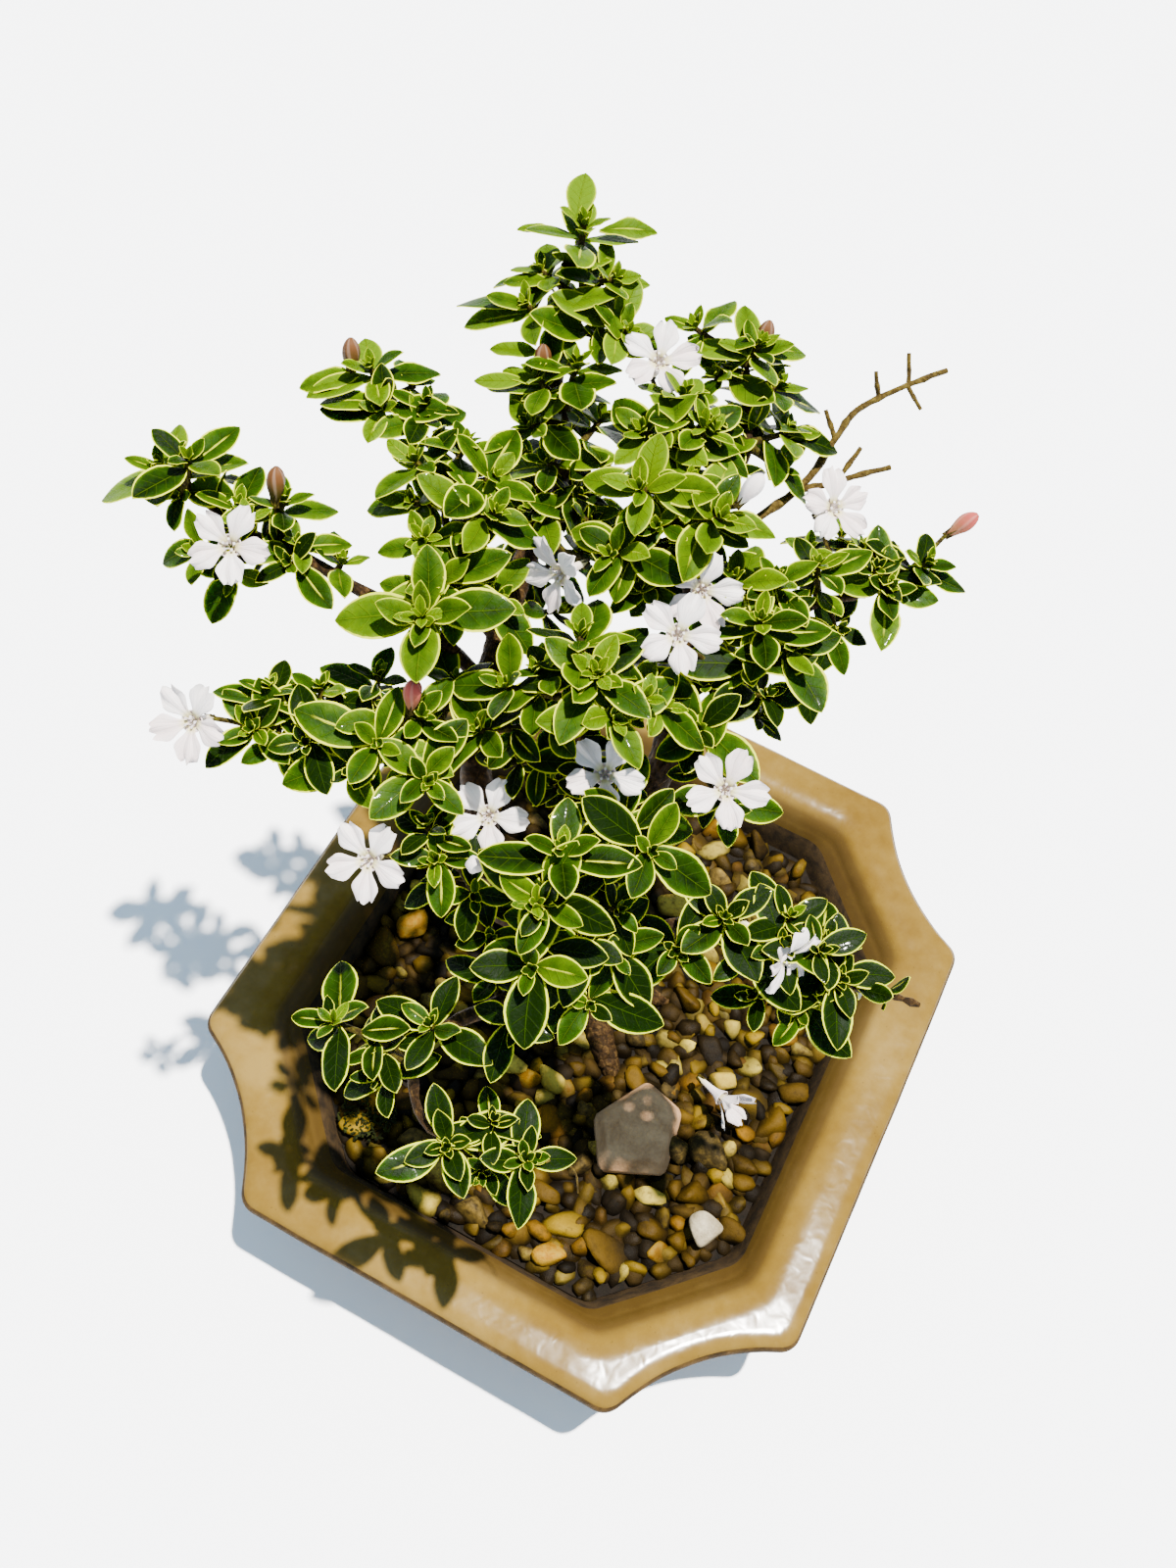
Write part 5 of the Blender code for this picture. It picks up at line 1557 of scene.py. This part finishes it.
@dataclass
class LeafyTwig:
    """A twig with its shoots, stalks and rosettes of crossed pairs of leaves."""

    name: str
    stem: list[Step]
    rosettes: list[Rosette]
    rng: random.Random
    growth: Growth = field(default_factory=Growth)
    fullness: float = 1.10
    slimness: float = 0.80
    knob: float = 0.22
    shade_foot: float = 92.0
    shade_height: float = 66.0
    # Painted shade taken off every leaf's painted light; the side growth along the stem gets more of it
    inner: float = 0.0
    side_growth_painted_shade: float = 0.4
    leaf_stalk: Pair = (0.62, 0.42)
    bloom_stalk: Pair = (0.42, 0.32)
    side_stalk: Pair = (0.42, 0.30)
    large_leaf: float = 4.0
    large_spans: tuple[int, int] = (10, 6)
    small_spans: tuple[int, int] = (6, 4)
    leaf_thick: Pair = (0.30, 0.22)
    leaf_rise: Pair = (8.0, 70.0)
    leaf_shrink: float = 0.92
    leaf_spacing: float = 0.65
    leaflets: int = 4
    leaflet_length: Pair = (1.6, 2.6)
    side_spacing: Pair = (2.6, 4.4)
    side_shoot_share: float = 0.55
    side_shoot: Pair = (2.6, 5.6)
    side_rosette: Pair = (5.0, 7.4)
    side_pair: Pair = (4.6, 7.2)
    sprout_pairs: tuple[Pair, ...] = ((24.0, 3.6), (48.0, 2.9), (70.0, 2.2))
    crowded_rooms: tuple[float, ...] = (6.0, 9.0, 13.0)

    def shade(self, base: Vector, young: float) -> float:
        """The painted light of a leaf here, from 0 for painted shade deep inside and low down to 1 for
        painted sunlight on top; newer leaves are paler too.

        Args:
            base: Where the leaf springs from.
            young: From 0 for a full leaf to 1 for the newest.

        Returns:
            The lightness, mostly painted light.
        """
        high = (base.z - self.shade_foot) / self.shade_height
        high = max(0.0, high) ** 1.5 + min(0.0, high)
        away = max(0.0, base.x) * 0.006
        return high - away + young * 0.35 - self.inner + self.rng.gauss(0.04, 0.17)

    def leaf(self, base: Vector, along: Vector, up: Vector, length: float, young: float) -> None:
        """Adds one leaf.

        Args:
            base: Where it springs from.
            along: The way it points.
            up: The way its upper side faces.
            length: Its length.
            young: From 0 for a full leaf to 1 for the newest.
        """
        shape = LeafShape.grown(self.rng)
        side = up.cross(along)
        light = min(1.0, max(0.0, self.shade(base, young)))

        def at(across: float, share: float) -> Vector:
            """A point of this leaf."""
            x, y, z = shape.at(across, share)
            return base + (along * x + side * y + up * z) * length

        large = length > self.large_leaf
        rows, columns = self.large_spans if large else self.small_spans
        self.growth.sheet(at, up, rows, columns, self.leaf_thick[0 if large else 1], Finish.LEAF,
                          (light, self.rng.random()))

    def pair(self, base: Vector, axis: Vector, spread: Vector, rise: float, size: float,
             young: float) -> None:
        """Adds one pair of leaves, either side of a shoot.

        Args:
            base: Where they spring from.
            axis: The way the shoot grows.
            spread: The way the first of them points.
            rise: How far they stand up, in degrees.
            size: Their length.
            young: From 0 for full leaves to 1 for the newest.
        """
        for way in (1, -1):
            swing = math.radians(self.rng.uniform(-9.0, 9.0))
            out = Matrix.Rotation(swing, 3, axis) @ (spread * way)
            lifted = math.radians(rise + self.rng.uniform(-4.0, 4.0))
            along = out * math.cos(lifted) + axis * math.sin(lifted)
            up = axis * math.cos(lifted) - out * math.sin(lifted)
            self.leaf(base + out * 0.12, along, up, size * self.rng.uniform(0.92, 1.06), young)

    def rosette(self, tip: Vector, shoot: Vector, length: float, pairs: int, turn: float) -> None:
        """Adds a shoot's crossed pairs of leaves and the leaflets in their middle.

        Args:
            tip: The shoot's tip.
            shoot: The shoot from its foot to its tip.
            length: The lowest leaves' length.
            pairs: How many full pairs there are.
            turn: Which way the lowest pair points.
        """
        room, way = shoot.length, shoot.normalized()
        axis = (way * 0.45 + UP * 0.8).normalized()
        over = axis.cross(compass(turn, 0)).normalized()
        spreads = (over.cross(axis).normalized(), over)
        count = pairs + 1
        for pair in range(count):
            share = pair / count
            low, high = self.leaf_rise
            rise = low + (high - low) * share ** 1.2 + self.rng.uniform(-6.0, 6.0)
            size = length * self.fullness * (1.0 - self.leaf_shrink * share)
            base = tip - way * min(room * 0.6, self.leaf_spacing * (count - pair - 1))
            self.pair(base, axis, spreads[pair % 2], rise, size, share)
        for extra in range(1, 1 + sum(room > longer for longer in self.crowded_rooms)):
            self.pair(tip - way * (1.6 + 2.6 * extra), axis, spreads[extra % 2],
                      self.rng.uniform(-6.0, 14.0), length * self.rng.uniform(0.68, 0.92), 0.0)
        for index in range(self.leaflets):
            out = radial(axis, 90.0 * index + 40.0)
            along, up = (out * 0.35 + axis).normalized(), (axis * 0.35 - out).normalized()
            self.leaf(tip + out * 0.1, along, up, self.rng.uniform(*self.leaflet_length), 1.0)

    def sprout(self, place: Vector) -> None:
        """Adds a shoot that has just started, with its foot here."""
        axis = Vector((self.rng.gauss(0.0, 0.15), self.rng.gauss(-0.1, 0.15), 1.0)).normalized()
        for ring, (rise, length) in enumerate(self.sprout_pairs):
            spread = radial(axis, 90.0 * (ring % 2) + 25.0)
            self.pair(place + axis * (0.3 * ring), axis, spread, rise, length, 1.6)

    def stalk(self, start: Vector, tip: Vector, radii: Pair) -> None:
        """Adds a straight young shoot, a little swollen where it leaves the stem.

        Args:
            start: Its foot.
            tip: Its tip.
            radii: Its radius at either end.
        """
        route = []
        for index in range(7):
            share = index / 6
            radius = radii[0] + (radii[1] - radii[0]) * share + 0.35 * (1.0 - share) ** 4
            route.append(Vector((*start.lerp(tip, share), radius)))
        self.growth.tube(route, 7, Finish.SHOOT, 0.12)

    def grown_stem(self) -> list[Vector]:
        """The stem's smooth route, knobbed and slimmer toward its tip."""
        stem = smoothed(self.stem, 4)
        for index, step in enumerate(stem):
            share = index / (len(stem) - 1)
            knob = self.knob * share ** 3 * (1.0 if index % 2 else -0.6)
            step[3] *= self.slimness - 0.38 * share ** 3 + knob
        return stem

    def build(self, palette: Palette) -> None:
        """Makes the twig and stands it in for its solid."""
        stem = self.grown_stem()
        self.growth.tube(stem, 10, Finish.BARK, 0.30)
        for x, y, z, length, pairs, turn in self.rosettes:
            tip = Vector((x, y, z))
            start = nearest_on(self.stem, tip)
            self.stalk(start, tip, self.leaf_stalk)
            self.rosette(tip, tip - start, length, pairs, turn)
        for bloom, (kind, place, facing, twig) in BLOOMS.items():
            if twig == self.name:
                reach = LONG_TUBES.get(bloom, kind.reach)
                foot = Vector(place) - compass(*facing) * (reach + 0.2)
                self.stalk(nearest_on(self.stem, foot), foot, self.bloom_stalk)
        for foot, tip in SINGLE_LEAVES.get(self.name, []):
            along = Vector(tip) - Vector(foot)
            length = along.length
            along.normalize()
            self.leaf(Vector(foot), along, (UP - along * along.z).normalized(), length, 0.4)
        for place in SPROUTS.get(self.name, []):
            self.sprout(Vector(place))
        if self.name in DRIED_THREADS:
            self.growth.tube(smoothed(DRIED_THREADS[self.name], 4), 6, Finish.DEAD_WOOD, 0.2)
        self.side_growth(stem)
        seat(self.growth.piece(f"{self.name}_leaves", palette), Finish.LEAF, f"leafy_twig_{self.name}")

    def side_growth(self, stem: list[Vector]) -> None:
        """Adds the small leaves and short shoots along the stem itself, painted darker as deeper shade.

        Args:
            stem: The stem's smooth route.
        """
        # From here on the leaves are painted darker, as deeper shade
        self.inner = self.side_growth_painted_shade
        spans = [(a, Vector(b[:3]) - Vector(a[:3])) for a, b in zip(stem, stem[1:])]
        bare = sum(way.length for _, way in spans) * BARE_SHARE.get(self.name, USUAL_BARE_SHARE)
        walked, due = 0.0, 2.0
        for foot, way in spans:
            walked += way.length
            if walked < bare or walked < due:
                continue
            due = walked + self.rng.uniform(*self.side_spacing)
            start, way = Vector(foot[:3]), way.normalized()
            swing = Matrix.Rotation(self.rng.uniform(0.0, FULL_TURN), 3, way)
            out = (swing @ way.orthogonal().normalized() + UP * 0.35).normalized()
            if self.rng.random() < self.side_shoot_share:
                tip = start + (out + way * 0.3) * self.rng.uniform(*self.side_shoot)
                self.stalk(start, tip, self.side_stalk)
                self.rosette(tip, tip - start, self.rng.uniform(*self.side_rosette), 2,
                             self.rng.uniform(0.0, 360.0))
            else:
                across = way.cross(out).normalized()
                spread = (out - way * out.dot(way)).normalized()
                axis = across.cross(spread).normalized()
                self.pair(start + out * foot[3] * 0.5, axis if axis.dot(way) > 0 else -axis, spread,
                          self.rng.uniform(10.0, 40.0), self.rng.uniform(*self.side_pair), 0.1)


def sepals(growth: Growth, foot: Matrix, length: float) -> None:
    """Adds the five narrow sepals at a bloom's foot.

    Args:
        growth: The piece that they join.
        foot: The bloom's foot, with its Z along the bloom.
        length: How long they are.
    """
    for turn in turns(FIVEFOLD):
        out = spoke(turn)
        route = []
        for t in (0.0, 0.35, 0.7, 1.0):
            place = foot @ (out * (0.35 + 0.5 * t ** 1.5) + UP * (length * t - 0.3))
            route.append(Vector((*place, 0.26 * (1.0 - 0.8 * t))))
        growth.tube(route, 6, Finish.SHOOT)


@dataclass
class Flower:
    """An open flower: toothed petals on a narrow tube, with its sepals."""

    name: str
    face: Vector
    axis: Vector
    rng: random.Random
    reach: float = 5.7
    tube: float = 5.0
    petals: int = FIVEFOLD
    furl: float = 0.0
    mouth: float = 0.7
    thick: float = 0.16
    sides: int = 20
    widths: tuple[float, ...] = (0.50, 0.58, 0.74, 1.02, 1.36, 1.66, 1.84, 1.86, 1.66)
    throat: tuple[Pair, ...] = ((0.85, -1.4), (1.25, -0.5), (1.55, 0.12), (1.42, 0.2), (1.05, -0.4),
                                (0.62, -1.3))

    def petal(self, growth: Growth, frame_of: Matrix, turn: float) -> None:
        """Adds one petal.

        Args:
            growth: The piece that it joins.
            frame_of: The flower's own axes.
            turn: Which way the petal points, in radians.
        """
        out = spoke(turn)
        side = Vector((-out.y, out.x, 0.0))
        reach = self.reach * self.rng.uniform(0.94, 1.03)
        curl = self.rng.uniform(-0.4, 0.7)
        phase = self.rng.uniform(0.0, 6.0)
        lean = self.rng.uniform(-0.35, 0.35)
        notch = self.rng.uniform(0.45, 0.85)

        def at(across: float, along: float) -> Vector:
            """A point of this petal."""
            teeth = abs(across) ** 2.4 + notch * (1.0 - abs(math.cos(1.5 * math.pi * across))) ** 0.8
            spread = (reach - teeth - self.mouth) * along
            lift = self.furl * spread + 1.15 * math.sin(min(1.0, along * 1.25) * math.pi / 2)
            lift -= curl * max(0.0, along - 0.7) * 2.2
            lift += 0.14 * math.cos(across * 2.6 * math.pi) * math.sin(along * math.pi * 0.9)
            lift += 0.42 * along ** 2 * math.sin(across * 5.5 + phase)
            far = self.mouth + spread * (1.0 - 0.5 * self.furl)
            half = across * between(self.widths, along) + lean * along
            return frame_of @ (out * far + side * half + UP * lift)

        tone = (self.rng.random(), self.rng.random())
        growth.sheet(at, self.axis, 8, 12, self.thick, Finish.PETAL, tone)

    def build(self, palette: Palette) -> None:
        """Makes the flower and stands it in for its solid."""
        growth = Growth()
        frame_of = placed(self.face, self.axis)
        for turn in turns(self.petals, self.rng.uniform(-0.12, 0.12)):
            self.petal(growth, frame_of, turn)
        shape = ((0.42, -self.tube), (0.52, -self.tube * 0.8), (0.62, -self.tube * 0.5), *self.throat)
        rings = [[frame_of @ spoke(turn, radius, z) for turn in turns(self.sides)]
                 for radius, z in shape]
        growth.loft(rings, Finish.PETAL, (0.9, 0.5))
        for index, turn in enumerate(turns(FIVEFOLD, 0.4)):
            tip = spoke(turn, 0.75, 0.75 + 0.2 * (index % 2))
            foot = tip * 0.35 - UP
            growth.tube([Vector((*(frame_of @ foot.lerp(tip, t)), radius))
                         for t, radius in ((0.0, 0.12), (0.7, 0.12), (1.0, 0.2))], 6, Finish.PETAL)
        sepals(growth, frame_of @ Matrix.Translation((0.0, 0.0, -self.tube)), 1.7)
        seat(growth.piece(f"{self.name}_petals", palette, 80.0), Finish.PETAL, self.name)


@dataclass
class Bud:
    """A closed bloom: furled petals in a small calyx."""

    name: str
    middle: Vector
    axis: Vector
    finish: Finish
    rng: random.Random
    half_length: float = 2.6
    radius: float = 1.45
    rows: int = 14
    sides: int = 25

    def build(self, palette: Palette) -> None:
        """Makes the bud and stands it in for its solid."""
        growth = Growth()
        frame_of = placed(self.middle, self.axis, self.rng.uniform(0.0, 6.0))
        rings = []
        for along in (row / self.rows for row in range(self.rows + 1)):
            body = math.sin(math.pi * min(1.0, along * 0.96 + 0.02)) ** 0.6 * (0.46 + 0.62 * along)
            height = self.half_length * (2.0 * along - 1.0)
            ring = []
            for turn in turns(self.sides):
                fold = 1.0 + 0.09 * math.cos(FIVEFOLD * turn + 3.2 * along) * math.sin(math.pi * along)
                ring.append(frame_of @ spoke(turn, self.radius * body * fold, height))
            rings.append(ring)
        growth.loft(rings, self.finish, (0.5, self.rng.random()))
        sepals(growth, frame_of @ Matrix.Translation((0.0, 0.0, -self.half_length)), 1.9)
        seat(growth.piece(f"{self.name}_furled", palette), self.finish, self.name)


@dataclass
class Wood:
    """The trunk with its roots and leaders, and the dead twigs behind it."""

    voxel: float = 0.42
    relief: float = 0.42
    stray: float = 0.2

    def weathered(self, point: Vector) -> float:
        """How far the bark stands out at a point."""
        drawn = Vector((point.x, point.y, point.z * 0.28))
        ridge = 1.0 - abs(noise.noise(drawn * 0.62)) * 2.2
        coarse = noise.noise(point * 0.22)
        fine = noise.noise(Vector((point.x, point.y, point.z * 0.45)) * 1.7)
        return ridge * 0.55 + coarse * 0.8 + fine * 0.35

    def build_trunk(self, palette: Palette) -> None:
        """Makes the trunk in one skin and stands it in for its solid."""
        growth = Growth()
        for route in TRUNK_ROUTES.values():
            growth.tube(smoothed(route, 5), 18, Finish.BARK, 0.10)
        skin = finished(growth.piece("trunk_core", palette),
                        [("REMESH", {"mode": "VOXEL", "voxel_size": self.voxel * MM}),
                         ("SMOOTH", {"factor": 0.5, "iterations": 3})])
        moved: list[float] = []
        for vert, facing in zip(skin.vertices, skin.vertex_normals):
            place = millimetres(vert.co)
            thin = min(1.0, max(0.25, 1.25 - (place.z - 20.0) / 130.0))
            moved.extend(vert.co + facing.vector * (self.weathered(place) * self.relief * thin * MM))
        skin.vertices.foreach_set("co", moved)
        skin.update()
        skin.materials.clear()
        skin.materials.append(palette[Finish.BARK])
        seat(show("trunk_bark", skin), Finish.BARK, "trunk")

    def build_dead_twigs(self, palette: Palette) -> None:
        """Makes the dead twigs and stands them in for their solid."""
        growth = Growth()
        for route in BARE_TWIG_ROUTES:
            bent = smoothed(route, 6)
            for index, step in enumerate(bent):
                place = Vector(step[:3])
                place += noise.noise_vector(place * 0.35) * self.stray
                bent[index] = Vector((*place, step[3] * (0.86 if index % 6 == 3 else 0.68)))
            growth.tube(bent, 10, Finish.DEAD_WOOD, 0.18)
        seat(growth.piece("dead_twigs", palette), Finish.DEAD_WOOD, "bare_twigs")

    def build(self, palette: Palette) -> None:
        """Makes all the wood."""
        self.build_trunk(palette)
        self.build_dead_twigs(palette)


@dataclass
class Plant:
    """The whole plant: wood, leafy twigs, flowers and buds."""

    fallen_way: Pair = (338.0, 20.0)
    fallen_depth: float = 3.4
    rng: random.Random = field(default_factory=lambda: random.Random(SEED + 2))

    def build(self, palette: Palette) -> None:
        """Makes every piece of the plant."""
        Wood().build(palette)
        for name, (stem, rosettes) in TWIGS.items():
            LeafyTwig(name, stem, rosettes, random.Random(f"{SEED} {name}")).build(palette)
        for name, (kind, place, facing, _) in BLOOMS.items():
            axis = compass(*facing)
            if kind is Bloom.OPEN:
                tube = LONG_TUBES.get(name, kind.reach)
                Flower(name, Vector(place), axis, self.rng, tube=tube).build(palette)
            else:
                Bud(name, Vector(place), axis, BUD_FINISHES[kind], self.rng).build(palette)
        self.build_fallen(palette)

    def build_fallen(self, palette: Palette) -> None:
        """Makes the flower that lies on the grit, in its solid's place."""
        middle, half = room_of("fallen_flower")
        way = compass(*self.fallen_way)
        face = middle + UP * (half.z - self.fallen_depth) + way * 0.4
        fallen = Flower("fallen_flower", face, way, self.rng, reach=6.4, tube=6.0, petals=4, furl=0.7)
        fallen.build(palette)


# ------------------------------------------------------------------ the studio


@dataclass
class Studio:
    """A pale floor, soft light and the camera."""

    lens: float = 31.946
    stand: Point = (20.47, -92.05, 277.08)
    right: Point = (0.88374, 0.45907, 0.09084)
    above: Point = (-0.44425, 0.76195, 0.47124)
    back: Point = (0.14712, -0.45682, 0.87731)
    floor_half: float = 1500.0
    floor_drop: float = 0.02
    floor_pale: Colour = paint(253, 253, 254)
    floor_grey: Colour = paint(244, 245, 247)
    sky: Colour = (0.50, 0.74, 1.0, 1.0)
    sky_strength: float = 1.05
    sun_way: Pair = (47.0, 78.5)
    sun_strength: float = 20.5
    sun_softness: float = 1.3
    sun_colour: Point = (1.0, 0.97, 0.93)

    def build_floor(self) -> None:
        """Lays the floor."""
        bm = bmesh.new()
        bmesh.ops.create_grid(bm, x_segments=8, y_segments=8, size=self.floor_half * MM)
        floor = show("floor", bm)
        g = Graph("floor_paper", Specular_IOR_Level=0.25)
        tooth = g.grain(0.8, 3.0)
        g.feed(Base_Color=g.mix(tooth * 0.15, self.floor_pale, self.floor_grey),
               Roughness=0.6 + tooth * 0.2)
        floor.data.materials.append(g.material)
        floor.location.z = -self.floor_drop * MM

    def build_light(self) -> None:
        """Hangs the light and sets the sky."""
        world = bpy.data.worlds.new("soft_sky")
        world.use_nodes = True
        background = world.node_tree.nodes["Background"]
        background.inputs["Color"].default_value = self.sky
        background.inputs["Strength"].default_value = self.sky_strength
        bpy.context.scene.world = world
        lamp = bpy.data.lights.new("high_window", "SUN")
        lamp.energy = self.sun_strength
        lamp.angle = math.radians(self.sun_softness)
        lamp.color = self.sun_colour
        way = compass(*self.sun_way)
        show("high_window", lamp).matrix_world = placed(metres(UP * 60.0) + way, way)

    def build_camera(self) -> None:
        """Stands the camera."""
        lens = bpy.data.cameras.new("camera")
        lens.lens = self.lens
        lens.clip_start = 0.005
        camera = show("camera", lens)
        turned = Matrix((self.right, self.above, self.back)).transposed().to_4x4()
        camera.matrix_world = Matrix.Translation(metres(Vector(self.stand))) @ turned
        bpy.context.scene.camera = camera

    def build(self) -> None:
        """Sets up the studio."""
        self.build_floor()
        self.build_light()
        self.build_camera()


def main() -> None:
    """Builds the whole scene."""
    logging.basicConfig(level=logging.INFO, format="%(name)s: %(message)s")
    started = time.perf_counter()
    noise.seed_set(SEED)
    Studio().build()
    palette = Palette()
    pot = Pot()
    for part in (pot, Filling(pot), Plant()):
        part.build(palette)
        LOG.info("%s done in %.1f s", type(part).__name__, time.perf_counter() - started)


if __name__ == "__main__":
    main()
